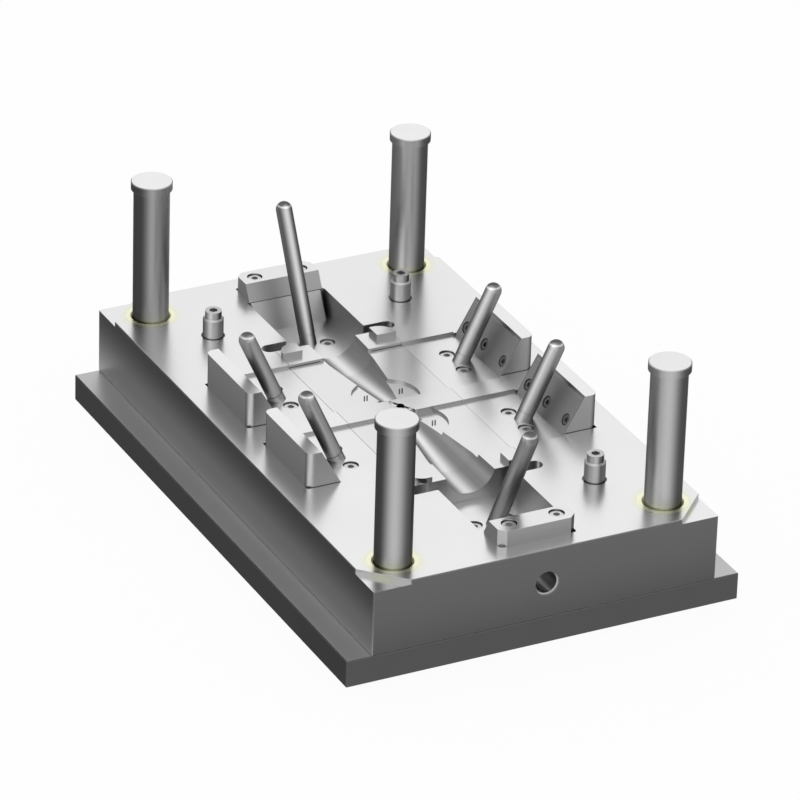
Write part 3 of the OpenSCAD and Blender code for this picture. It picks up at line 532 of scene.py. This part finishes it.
    def _marks(self) -> bpy.types.NodeTree:
        """Plain cavity marks, two slanted strokes engraved in each sunken disc's floor."""
        group, wires, given, out = new_group(
            "cavity_marks", {"Spacing": 1.4 * MM, "Stroke": 0.8 * MM, "Half Length": 5.0 * MM,
                             "Slant": 0.5}, ("Mark",))
        normal, spot = self._looks(wires)
        across, along = (
            wires.maths("SUBTRACT", spot.outputs[axis],
                        wires.maths("MULTIPLY", wires.maths("SIGN", spot.outputs[axis]), middle))
            for axis, middle in (("X", MARKS[0]), ("Y", MARKS[1])))
        lean = wires.maths("MULTIPLY", along, given.outputs["Slant"])
        upright = wires.maths("SUBTRACT", across, lean)
        off = wires.maths("SUBTRACT", wires.maths("ABSOLUTE", upright), given.outputs["Spacing"])
        stroke = wires.maths("LESS_THAN", wires.maths("ABSOLUTE", off), given.outputs["Stroke"])
        far = wires.maths("ABSOLUTE", along)
        inside = wires.maths("LESS_THAN", far, given.outputs["Half Length"])
        level = wires.maths("GREATER_THAN", normal.outputs["Z"], self.LEVEL_FLOOR)
        wires.join(wires.maths("MULTIPLY", wires.maths("MULTIPLY", stroke, inside), level),
                   out.inputs["Mark"])
        return group

    def _fade(self, guide: tuple[float, float]) -> bpy.types.NodeTree:
        """A mask that falls from 1 to 0 away from the nearest guide pin's axis, where the painted
        glow fades out.
        """
        group, wires, given, out = new_group(
            "guide_fade", {"Axis X": guide[0], "Axis Y": guide[1], "Inner": BUSH_GLOW[0],
                           "Outer": BUSH_GLOW[1]}, ("Fade",))
        _, spot = self._looks(wires)
        off = wires.add("ShaderNodeCombineXYZ")
        for axis in ("X", "Y"):
            far = wires.maths("ABSOLUTE", spot.outputs[axis])
            away = wires.maths("SUBTRACT", far, given.outputs[f"Axis {axis}"])
            wires.join(away, off.inputs[axis])
        length = wires.add("ShaderNodeVectorMath", operation="LENGTH")
        wires.join(off.outputs["Vector"], length.inputs[0])
        spread = wires.add("ShaderNodeMapRange", clamp=True)
        wires.join(length.outputs["Value"], spread.inputs["Value"])
        wires.join(given.outputs["Outer"], spread.inputs["From Min"])
        wires.join(given.outputs["Inner"], spread.inputs["From Max"])
        wires.join(spread.outputs["Result"], out.inputs["Fade"])
        return group


@dataclass(frozen=True)
class FaceTones:
    """Painted reflection and shade of a piece with flat faces: its brightness by the way each face
    looks.

    Args:
        top: Faces that lie flat.
        side_x: Upright faces across X, at the clamp plate and at the parting face.
        side_y: Upright faces across Y, at the clamp plate and at the parting face.
        corner: How strongly the painted reflection bands on rounded upright corners show.
        inner: Upright faces inside the plate's outline, where they have a painted shade of their
            own, with a painted highlight where they look to the right.
    """

    top: float
    side_x: tuple[float, float]
    side_y: tuple[float, float]
    corner: float = 0.0
    inner: float | None = None

    @classmethod
    def even(cls, top: float, side_x: float, side_y: float, corner: float = 0.0) -> "FaceTones":
        """Tones that are the same at every height.

        Args:
            top: Faces that lie flat.
            side_x: Upright faces across X.
            side_y: Upright faces across Y.
            corner: How strongly the painted reflection bands on rounded upright corners show.

        Returns:
            The tones.
        """
        return cls(top, (side_x, side_x), (side_y, side_y), corner)

    def wire(self, wires: Nodes, effects: Effects) -> bpy.types.Node:
        """Adds the group that gives the tone.

        Args:
            wires: The material's wiring helper.
            effects: The shared shader groups.

        Returns:
            The group node, with the outputs Tone and Flat.
        """
        group = wires.add("ShaderNodeGroup", node_tree=effects.faces)
        values = {
            "Top": self.top, "X Low": self.side_x[0], "X High": self.side_x[1],
            "Y Low": self.side_y[0], "Y High": self.side_y[1], "Corner": self.corner,
            "Inner": self.inner or 0.0, "Bounded": 0.0 if self.inner is None else 1.0}
        for label, value in values.items():
            group.inputs[label].default_value = value
        return group


@dataclass(frozen=True)
class RoundTones:
    """Painted reflections on a ground round pin: its brightness in bands.

    Args:
        top: Faces that lie flat.
        left: Left of the band, seen from the front.
        middle: In the middle of the band.
        right: Right of the band.
        crown: How much brighter a round tip is below its top, as a painted highlight ring.
        sharpness: How narrow the bands are.
        way: Turn about Z of the main band, in degrees from the front.
    """

    top: float
    left: float
    middle: float
    right: float
    crown: float = 0.0
    sharpness: float = 2.9
    way: float = -29.0

    def wire(self, wires: Nodes, effects: Effects) -> bpy.types.Node:
        """Adds the group that gives the tone.

        Args:
            wires: The material's wiring helper.
            effects: The shared shader groups.

        Returns:
            The group node, with the outputs Tone and Flat.
        """
        group = wires.add("ShaderNodeGroup", node_tree=effects.bands)
        values = {"Top": self.top, "Left": self.left, "Middle": self.middle, "Right": self.right,
                  "Crown": self.crown, "Sharpness": self.sharpness}
        for label, value in values.items():
            group.inputs[label].default_value = value
        turn = math.radians(self.way)
        group.inputs["Way"].default_value = (math.sin(turn), -math.cos(turn), 0.0)
        group.inputs["Across"].default_value = (math.cos(turn), math.sin(turn), 0.0)
        return group


@dataclass(frozen=True)
class SteelFinish:
    """One machined steel surface, with its reflections and shade painted into its colour.

    Args:
        name: The material's name.
        tones: Painted reflection and shade: brightness by the way a face looks.
        top_rough: Roughness of the flat faces.
        side_rough: Roughness of the upright faces.
        lay: Which way the tool marks run.
        mark_scale: How fine the marks are.
        mark_depth: How much the marks change the brightness and roughness.
        patch_depth: How much handling changes the brightness.
        edge_tone: Painted brightness of the broken edges: a highlight where it is above the face's
            tone, shade where it is below.
        seam: Whether the joint round the insert shows on it as a fine line.
        hollows: Whether it has the cavities and runners, with their painted reflection and shade.
        tint: Colour of the metal at full brightness; on and round the guide bushes, the yellow of a
            painted glow.
        glow: Where the painted glow's tint is full and where it has gone, from a guide pin's axis.
        grazing: Share of the light that it keeps at a grazing angle.
        anisotropy: How far a ground finish draws its reflections out.
    """

    EDGE_SHARE = 0.5  # how much of the painted edge tone a broken edge takes
    SEAM_TONE = 0.2  # brightness of the joint round the insert
    MARK_TONE = 0.16  # brightness of the engraved marks
    HOLLOW_ROUGH = 0.45  # roughness inside the cavities and runners
    BUMP = (0.05, 0.05 * MM)  # strength and depth of the tool marks

    name: str
    tones: FaceTones | RoundTones
    top_rough: float
    side_rough: float
    lay: Lay = Lay.ALL_WAYS
    mark_scale: float = 700.0
    mark_depth: float = 0.08
    patch_depth: float = 0.05
    edge_tone: float = 0.7
    seam: bool = False
    hollows: bool = False
    tint: tuple[float, float, float] = (1.0, 1.0, 1.0)
    glow: tuple[float, float] | None = None
    grazing: float = 0.5
    anisotropy: float = 0.0

    def material(self, effects: Effects) -> bpy.types.Material:
        """Builds the material.

        Args:
            effects: The shared shader groups.

        Returns:
            The finished material.
        """
        made = bpy.data.materials.new(self.name)
        made.use_nodes = True
        tree = made.node_tree
        wires = Nodes(tree)
        steel = tree.nodes["Principled BSDF"]
        place = wires.add("ShaderNodeTexCoord")
        stretch = wires.add("ShaderNodeVectorMath", operation="MULTIPLY")
        wires.join(place.outputs["Object"], stretch.inputs[0])
        stretch.inputs[1].default_value = self.lay.value
        grain = wires.add("ShaderNodeGroup", node_tree=effects.grain)
        wires.join(stretch.outputs["Vector"], grain.inputs["Place"])
        grain.inputs["Scale"].default_value = self.mark_scale
        grain.inputs["Depth"].default_value = self.mark_depth
        patch = wires.add("ShaderNodeGroup", node_tree=effects.stain)
        wires.join(place.outputs["Object"], patch.inputs["Place"])
        patch.inputs["Depth"].default_value = self.patch_depth
        edge = wires.add("ShaderNodeGroup", node_tree=effects.edge)
        # painted reflection and shade, by the way each face looks
        tones = self.tones.wire(wires, effects)
        tone = tones.outputs["Tone"]
        tone = wires.maths("MULTIPLY", tone, wires.maths("ADD", grain.outputs["Mark"], 1.0))
        tone = wires.maths("MULTIPLY", tone, wires.maths("ADD", patch.outputs["Patch"], 1.0))
        # painted highlight or shade on the broken edges
        broken = wires.maths("MULTIPLY", edge.outputs["Edge"], self.EDGE_SHARE)
        tone = wires.blend(broken, tone, self.edge_tone)
        rough = wires.blend(tones.outputs["Flat"], self.side_rough, self.top_rough)
        if self.seam:
            seam = wires.add("ShaderNodeGroup", node_tree=effects.seam)
            wires.join(place.outputs["Object"], seam.inputs["Place"])
            shown = wires.maths("MULTIPLY", seam.outputs["Seam"], tones.outputs["Flat"])
            tone = wires.blend(shown, tone, self.SEAM_TONE)
        if self.hollows:
            hollow = wires.add("ShaderNodeGroup", node_tree=effects.cavities)
            tone = wires.blend(hollow.outputs["Mask"], tone, hollow.outputs["Tone"])
            rough = wires.blend(hollow.outputs["Mask"], rough, self.HOLLOW_ROUGH)
            marks = wires.add("ShaderNodeGroup", node_tree=effects.marks)
            tone = wires.blend(marks.outputs["Mark"], tone, self.MARK_TONE)
        colour = wires.add("ShaderNodeVectorMath", operation="SCALE")
        colour.inputs[0].default_value = self.tint
        # the painted glow round the guide bushes
        if self.glow:
            wires.join(self._faded_tint(wires, effects), colour.inputs[0])
        wires.join(tone, colour.inputs["Scale"])
        wires.join(colour.outputs["Vector"], steel.inputs["Base Color"])
        swing = wires.maths("ADD", grain.outputs["Mark"], patch.outputs["Patch"])
        rough = wires.maths("MULTIPLY", rough, wires.maths("ADD", swing, 1.0))
        wires.join(rough, steel.inputs["Roughness"])
        steel.inputs["Metallic"].default_value = 1.0
        steel.inputs["Specular Tint"].default_value = linear(self.grazing)
        bump = wires.add("ShaderNodeBump")
        bump.inputs["Strength"].default_value, bump.inputs["Distance"].default_value = self.BUMP
        wires.join(grain.outputs["Height"], bump.inputs["Height"])
        wires.join(bump.outputs["Normal"], steel.inputs["Normal"])
        if self.anisotropy:
            steel.inputs["Anisotropic"].default_value = self.anisotropy
            tangent = wires.add("ShaderNodeTangent", direction_type="RADIAL", axis="Z")
            wires.join(tangent.outputs["Tangent"], steel.inputs["Tangent"])
        return made

    def _faded_tint(self, wires: Nodes, effects: Effects) -> bpy.types.NodeSocket:
        """Wires the painted glow: a tint that fades to plain steel away from the guide pin.

        Args:
            wires: The material's wiring helper.
            effects: The shared shader groups.

        Returns:
            The colour's socket.
        """
        fade = wires.add("ShaderNodeGroup", node_tree=effects.fade)
        fade.inputs["Inner"].default_value, fade.inputs["Outer"].default_value = self.glow
        mixed = wires.add("ShaderNodeMix", data_type="RGBA")
        plain, tinted = (socket for socket in mixed.inputs if socket.type == "RGBA")
        plain.default_value, tinted.default_value = linear(1.0), (*self.tint, 1.0)
        wires.join(fade.outputs["Fade"], mixed.inputs["Factor"])
        return next(socket for socket in mixed.outputs if socket.type == "RGBA")


# The tones of every finish below are painted reflection and shade: tops light and sides darker, as
# the light falls and the steel mirrors the studio.
PARTING_STEEL = SteelFinish(
    "ground_plate_steel",
    FaceTones(top=0.91, side_x=(0.44, 0.06), side_y=(0.097, 0.135), inner=0.4),
    top_rough=0.26, side_rough=0.34, lay=Lay.ALONG_X, mark_scale=1400.0, mark_depth=0.04,
    # the plate takes the painted glow round each guide bush
    seam=True, tint=BUSH_GLOW_TINT, glow=BUSH_GLOW)
CLAMP_STEEL = SteelFinish(
    "clamp_plate_steel", FaceTones.even(top=0.57, side_x=0.053, side_y=0.093),
    top_rough=0.4, side_rough=0.36, lay=Lay.ALONG_X, mark_scale=1200.0, edge_tone=0.35)
INSERT_STEEL = SteelFinish(
    "polished_insert_steel", FaceTones.even(top=0.87, side_x=0.27, side_y=0.37),
    top_rough=0.22, side_rough=0.25, mark_depth=0.03, seam=True, hollows=True)
SPRUE_STEEL = SteelFinish(
    "sprue_bush_steel", FaceTones.even(top=0.87, side_x=0.06, side_y=0.06),
    top_rough=0.24, side_rough=0.4, mark_depth=0.03, edge_tone=0.87)
HEEL_STEEL = SteelFinish(
    "heel_block_steel", FaceTones.even(top=0.93, side_x=0.21, side_y=0.34, corner=0.3),
    top_rough=0.25, side_rough=0.36, lay=Lay.ALONG_X, mark_scale=1300.0, mark_depth=0.04)
WEAR_STEEL = SteelFinish(
    "wear_plate_steel", FaceTones.even(top=0.9, side_x=0.28, side_y=0.4),
    top_rough=0.25, side_rough=0.6, lay=Lay.ALONG_X, mark_scale=1300.0, mark_depth=0.04)
END_STEEL = SteelFinish(
    "end_heel_steel", FaceTones.even(top=0.88, side_x=0.24, side_y=0.3, corner=0.25),
    top_rough=0.25, side_rough=0.34, lay=Lay.ALONG_Y, mark_scale=1300.0, mark_depth=0.04)
# A copy of the end heel steel whose faces across Y are painted lighter, as the light falls on the
# far end.
FAR_END_STEEL = replace(
    END_STEEL, name="far_end_heel_steel", side_rough=0.45,
    tones=replace(END_STEEL.tones, side_y=(0.39, 0.39)))
WEDGE_STEEL = SteelFinish(
    "wear_wedge_steel", FaceTones.even(top=0.9, side_x=0.5, side_y=0.47),
    top_rough=0.3, side_rough=0.4, lay=Lay.ALONG_Y, mark_scale=1300.0, mark_depth=0.04)
# Each pin gets its own copy of this steel, differing only in the painted reflection bands that it
# shows.
PIN_STEEL = SteelFinish(
    "ground_pin_steel",
    RoundTones(top=0.9, left=0.055, middle=0.5, right=0.1, sharpness=3.2, way=-26.0),
    top_rough=0.25, side_rough=0.36, lay=Lay.ROUND_Z, mark_scale=1500.0, mark_depth=0.05,
    anisotropy=0.4, edge_tone=0.3)
# Copies for the other guide pins: the same steel with each pin's own painted reflection bands.
FRONT_RIGHT_PIN_STEEL = replace(
    PIN_STEEL, name="ground_pin_steel_2",
    tones=RoundTones(top=0.9, left=0.27, middle=0.5, right=0.085))
BACK_LEFT_PIN_STEEL = replace(
    PIN_STEEL, name="ground_pin_steel_3",
    tones=RoundTones(top=0.96, left=0.055, middle=0.4, right=0.25, sharpness=3.3, way=-13.0))
BACK_RIGHT_PIN_STEEL = replace(
    PIN_STEEL, name="ground_pin_steel_4",
    tones=RoundTones(top=0.97, left=0.13, middle=0.58, right=0.08))
SLANT_STEEL = SteelFinish(
    "angle_pin_steel",
    RoundTones(top=0.12, left=0.23, middle=0.52, right=0.27, crown=0.45, sharpness=2.0, way=5.0),
    top_rough=0.32, side_rough=0.42, mark_scale=900.0, edge_tone=0.2)
# Copies for the other angle pins: the same steel with each pin's own painted reflection bands.
RIGHT_SLANT_STEEL = replace(
    SLANT_STEEL, name="angle_pin_steel_2",
    tones=replace(SLANT_STEEL.tones, left=0.18, middle=0.64, right=0.24, way=-47.0))
FRONT_SLANT_STEEL = replace(
    SLANT_STEEL, name="angle_pin_steel_3",
    tones=replace(SLANT_STEEL.tones, left=0.27, middle=0.36, right=0.18, sharpness=1.5, way=-60.0))
BACK_SLANT_STEEL = replace(
    SLANT_STEEL, name="angle_pin_steel_4",
    tones=replace(SLANT_STEEL.tones, left=0.14, middle=0.7, right=0.12, sharpness=3.6, way=-11.0))
LOCK_STEEL = SteelFinish(
    "lock_sleeve_steel", RoundTones(top=0.85, left=0.22, middle=0.56, right=0.18),
    top_rough=0.28, side_rough=0.4, lay=Lay.ROUND_Z, mark_scale=1500.0, mark_depth=0.05)
LOCK_SCREW_STEEL = SteelFinish(
    "lock_screw_steel", RoundTones(top=0.6, left=0.24, middle=0.6, right=0.06, sharpness=1.6),
    top_rough=0.35, side_rough=0.4, edge_tone=0.6)
SEAT_STEEL = SteelFinish(
    "pin_seat_steel", FaceTones.even(top=0.6, side_x=0.3, side_y=0.3),
    top_rough=0.3, side_rough=0.35)
SCREW_STEEL = SteelFinish(
    "screw_steel", FaceTones.even(top=0.78, side_x=0.5, side_y=0.5),
    top_rough=0.3, side_rough=0.4, edge_tone=0.5)
WEAR_SCREW_STEEL = SteelFinish(
    "wear_screw_steel", FaceTones.even(top=0.5, side_x=0.15, side_y=0.3),
    top_rough=0.4, side_rough=0.5, edge_tone=0.2)
# The guide bushes are painted as glowing: full brightness on every face, in the glow's yellow.
GUIDE_BUSH_GLOW = SteelFinish(
    "guide_bronze", FaceTones.even(top=1.0, side_x=1.0, side_y=1.0),
    top_rough=0.34, side_rough=0.6, tint=BUSH_GLOW_TINT, glow=BUSH_GLOW, edge_tone=1.0)


class Workshop:
    """Makes each finish once and puts it on the nodes that have it.
    """

    def __init__(self, frame: dict[str, Any]) -> None:
        """Keeps the frame and builds the shared effects."""
        self.nodes: dict[str, bpy.types.Object] = frame["nodes"]
        plate, insert = (Extent.of(self.nodes[name]) for name in ("cavity_plate", "cavity_insert"))
        self.effects = Effects(plate, insert, axis_place(self.nodes["guide_bush_back_right"]))
        self.made: dict[str, bpy.types.Material] = {}

    def material(self, finish: SteelFinish) -> bpy.types.Material:
        """The material of a finish, built the first time it is asked for."""
        if finish.name not in self.made:
            self.made[finish.name] = finish.material(self.effects)
        return self.made[finish.name]

    def dress(self, node: str, finish: SteelFinish) -> None:
        """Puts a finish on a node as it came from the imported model.

        Args:
            node: The node's name.
            finish: The finish that it gets.
        """
        piece = self.nodes[node]
        piece.data.materials.clear()
        piece.data.materials.append(self.material(finish))
        LOG.info("dressed %s with %s", node, finish.name)


@dataclass
class Plates:
    """The two plates and the insert with its sprue bush."""

    finishes: dict[str, SteelFinish] = field(default_factory=lambda: {
        "clamp_plate": CLAMP_STEEL,
        "cavity_plate": PARTING_STEEL,
        "cavity_insert": INSERT_STEEL,
        "sprue_bush": SPRUE_STEEL,
        "locating_ring": CLAMP_STEEL,
    })

    def build(self, shop: Workshop) -> None:
        """Dresses each plate."""
        for node, finish in self.finishes.items():
            shop.dress(node, finish)


@dataclass
class Guides:
    """Guide pins, their bushes, the angle pins and the parting locks."""

    # each guide pin has its own copy of the pin steel, with its own painted reflection bands
    pins: dict[Corner, SteelFinish] = field(default_factory=lambda: {
        Corner.FRONT_LEFT: PIN_STEEL,
        Corner.FRONT_RIGHT: FRONT_RIGHT_PIN_STEEL,
        Corner.BACK_LEFT: BACK_LEFT_PIN_STEEL,
        Corner.BACK_RIGHT: BACK_RIGHT_PIN_STEEL,
    })
    # each end pin has its own copy of the angle pin steel, with its own painted reflection bands
    end_pins: dict[End, SteelFinish] = field(default_factory=lambda: {
        End.FRONT: FRONT_SLANT_STEEL,
        End.BACK: BACK_SLANT_STEEL,
    })

    def build(self, shop: Workshop) -> None:
        """Dresses the round pieces that stand out of the parting face."""
        for corner, finish in self.pins.items():
            # the right angle pins take a copy with other painted reflection bands
            slant = SLANT_STEEL if corner.on_left else RIGHT_SLANT_STEEL
            shop.dress(f"guide_pin_{corner.tag}", finish)
            shop.dress(f"guide_bush_{corner.tag}", GUIDE_BUSH_GLOW)
            shop.dress(f"side_angle_pin_{corner.tag}", slant)
            shop.dress(f"parting_lock_sleeve_{corner.tag}", LOCK_STEEL)
        for end, finish in self.end_pins.items():
            shop.dress(f"end_angle_pin_{end.tag}", finish)


@dataclass
class Heels:
    """Heel blocks, wear plates and wedges, and the pin seats."""

    # the far end block takes a copy with lighter painted faces
    end_blocks: dict[End, SteelFinish] = field(default_factory=lambda: {
        End.FRONT: END_STEEL,
        End.BACK: FAR_END_STEEL,
    })

    def build(self, shop: Workshop) -> None:
        """Dresses the blocks that back up the slides."""
        for corner in Corner:
            shop.dress(f"side_heel_block_{corner.tag}", HEEL_STEEL)
            shop.dress(f"side_wear_plate_{corner.tag}", WEAR_STEEL)
            shop.dress(f"side_pin_seat_{corner.tag}", SEAT_STEEL)
        for end, finish in self.end_blocks.items():
            shop.dress(f"end_heel_block_{end.tag}", finish)
            shop.dress(f"end_wear_wedge_{end.tag}", WEDGE_STEEL)
            shop.dress(f"end_pin_seat_{end.tag}", SEAT_STEEL)


@dataclass
class Fasteners:
    """The screws and dowels."""

    plain: tuple[str, ...] = (
        "locating_ring_screws", "clamp_plate_screws", "insert_screws", "dowel_pins",
        "pin_seat_screws", "side_heel_screws", "end_heel_screws", "end_wear_screws")

    def build(self, shop: Workshop) -> None:
        """Dresses the fasteners."""
        for name in self.plain:
            shop.dress(name, SCREW_STEEL)
        shop.dress("wear_plate_screws", WEAR_SCREW_STEEL)
        shop.dress("parting_lock_screws", LOCK_SCREW_STEEL)


@dataclass(frozen=True)
class SoftLight:
    """A square soft light.

    Args:
        name: The light's name.
        place: Its position in metres.
        width: Its width in metres.
        power: Its power in watts.
        mirrored: Whether bright steel shows it.
    """

    name: str
    place: tuple[float, float, float]
    width: float
    power: float
    mirrored: bool = True


TOP_LIGHT = SoftLight("top_light", (0.2, 0.3, 2.6), width=2.4, power=14.0, mirrored=False)
LEFT_LIGHT = SoftLight("left_light", (-2.2, -0.6, 1.6), width=1.4, power=6.0)


@dataclass
class Studio:
    """Floor, light and camera.

    Args:
        target: The point that the camera looks at.
        azimuth: The camera's turn about Z, in degrees, where 0 looks along +Y.
        elevation: The camera's height over the horizon, in degrees.
        roll: The camera's turn about its own axis, in degrees.
        distance: From the camera to the target, in metres.
        lens: Focal length in millimetres on the sensor's width.
        sensor: The sensor's width in millimetres.
        floor_z: Height of the floor, just under the locating ring, in metres.
        floor_size: Half the floor's width, in metres.
        floor_grey: Brightness of the floor where it lights the object.
        floor_glow: How much of the floor's look is plain white; the rest keeps the shadow.
        world_light: Strength of the surround where it lights the object.
        lamps: The soft lights.
    """

    target: tuple[float, float, float] = (0.0, 0.0, 0.10294)
    azimuth: float = -27.30
    elevation: float = 27.87
    roll: float = 1.79
    distance: float = 5.639
    lens: float = 270.96
    sensor: float = 36.0
    floor_z: float = -10.2 * MM
    floor_size: float = 12.0
    floor_grey: float = 0.9
    floor_glow: float = 0.95
    world_light: float = 0.7
    lamps: tuple[SoftLight, ...] = (TOP_LIGHT, LEFT_LIGHT)

    def build(self) -> None:
        """Sets the floor, the lights, the world and the camera."""
        self._floor()
        for lamp in self.lamps:
            self._lamp(lamp)
        self._world()
        self._camera()

    def _floor(self) -> None:
        """A wide pale floor that shows white but keeps the object's shadow."""
        mesh = bpy.data.meshes.new("studio_floor")
        shape = bmesh.new()
        bmesh.ops.create_grid(shape, x_segments=1, y_segments=1, size=self.floor_size)
        bmesh.ops.translate(shape, verts=shape.verts, vec=(0.0, 0.0, self.floor_z))
        shape.to_mesh(mesh)
        shape.free()
        floor = bpy.data.objects.new("studio_floor", mesh)
        bpy.context.scene.collection.objects.link(floor)
        material = bpy.data.materials.new("studio_floor")
        material.use_nodes = True
        tree = material.node_tree
        wires = Nodes(tree)
        pale = tree.nodes["Principled BSDF"]
        pale.inputs["Base Color"].default_value = linear(self.floor_grey)
        pale.inputs["Roughness"].default_value = 0.9
        pale.inputs["Specular IOR Level"].default_value = 0.0
        glow = wires.add("ShaderNodeEmission")
        glow.inputs["Color"].default_value = linear(1.0)
        mix = wires.add("ShaderNodeMixShader")
        share = wires.maths("MULTIPLY", self._seen(wires), self.floor_glow)
        wires.join(share, mix.inputs["Fac"])
        wires.join(pale.outputs["BSDF"], mix.inputs[1])
        wires.join(glow.outputs["Emission"], mix.inputs[2])
        wires.join(mix.outputs["Shader"], tree.nodes["Material Output"].inputs["Surface"])
        mesh.materials.append(material)

    def _lamp(self, lamp: SoftLight) -> None:
        """Adds a soft light that faces what the camera looks at.

        Args:
            lamp: The light's values.
        """
        data = bpy.data.lights.new(lamp.name, "AREA")
        data.shape = "RECTANGLE"
        data.size = data.size_y = lamp.width
        data.energy = lamp.power
        light = bpy.data.objects.new(lamp.name, data)
        light.location = lamp.place
        light.visible_glossy = lamp.mirrored
        way = Vector(self.target) - Vector(lamp.place)
        light.rotation_euler = way.to_track_quat("-Z", "Y").to_euler()
        bpy.context.scene.collection.objects.link(light)

    def _world(self) -> None:
        """A soft surround that shows white and lights the object a little less."""
        world = bpy.data.worlds.new("studio")
        bpy.context.scene.world = world
        world.use_nodes = True
        wires = Nodes(world.node_tree)
        back = world.node_tree.nodes["Background"]
        back.inputs["Color"].default_value = linear(1.0)
        strength = wires.blend(self._seen(wires), self.world_light, 1.0)
        wires.join(strength, back.inputs["Strength"])

    def _seen(self, wires: Nodes) -> bpy.types.NodeSocket:
        """A mask that is 1 for the camera, for metal and for glass.

        Args:
            wires: The wiring helper of the tree that asks.

        Returns:
            The mask's socket.
        """
        path = wires.add("ShaderNodeLightPath")
        seen = wires.maths("MAXIMUM", path.outputs["Is Camera Ray"], path.outputs["Is Glossy Ray"])
        return wires.maths("MAXIMUM", seen, path.outputs["Is Transmission Ray"])

    def _camera(self) -> None:
        """The camera at the photograph's angle."""
        turn, rise = math.radians(self.azimuth), math.radians(self.elevation)
        level = math.cos(rise)
        back = Vector((math.sin(turn) * level, -math.cos(turn) * level, math.sin(rise)))
        data = bpy.data.cameras.new("photo_camera")
        data.sensor_width = self.sensor
        data.lens = self.lens
        data.clip_end = 60.0
        camera = bpy.data.objects.new("photo_camera", data)
        camera.location = Vector(self.target) + back * self.distance
        look = (-back).to_track_quat("-Z", "Y").to_matrix()
        camera.rotation_euler = (look @ Matrix.Rotation(math.radians(self.roll), 3, "Z")).to_euler()
        bpy.context.scene.collection.objects.link(camera)
        bpy.context.scene.camera = camera


def main() -> None:
    """Loads the frame, dresses every piece and sets the studio."""
    logging.basicConfig(level=logging.INFO, format="%(message)s")
    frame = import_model()
    bpy.context.scene.view_settings.view_transform = "Standard"
    shop = Workshop(frame)
    for assembly in (Plates(), Guides(), Heels(), Fasteners()):
        assembly.build(shop)
    Studio().build()


if __name__ == "__main__":
    main()
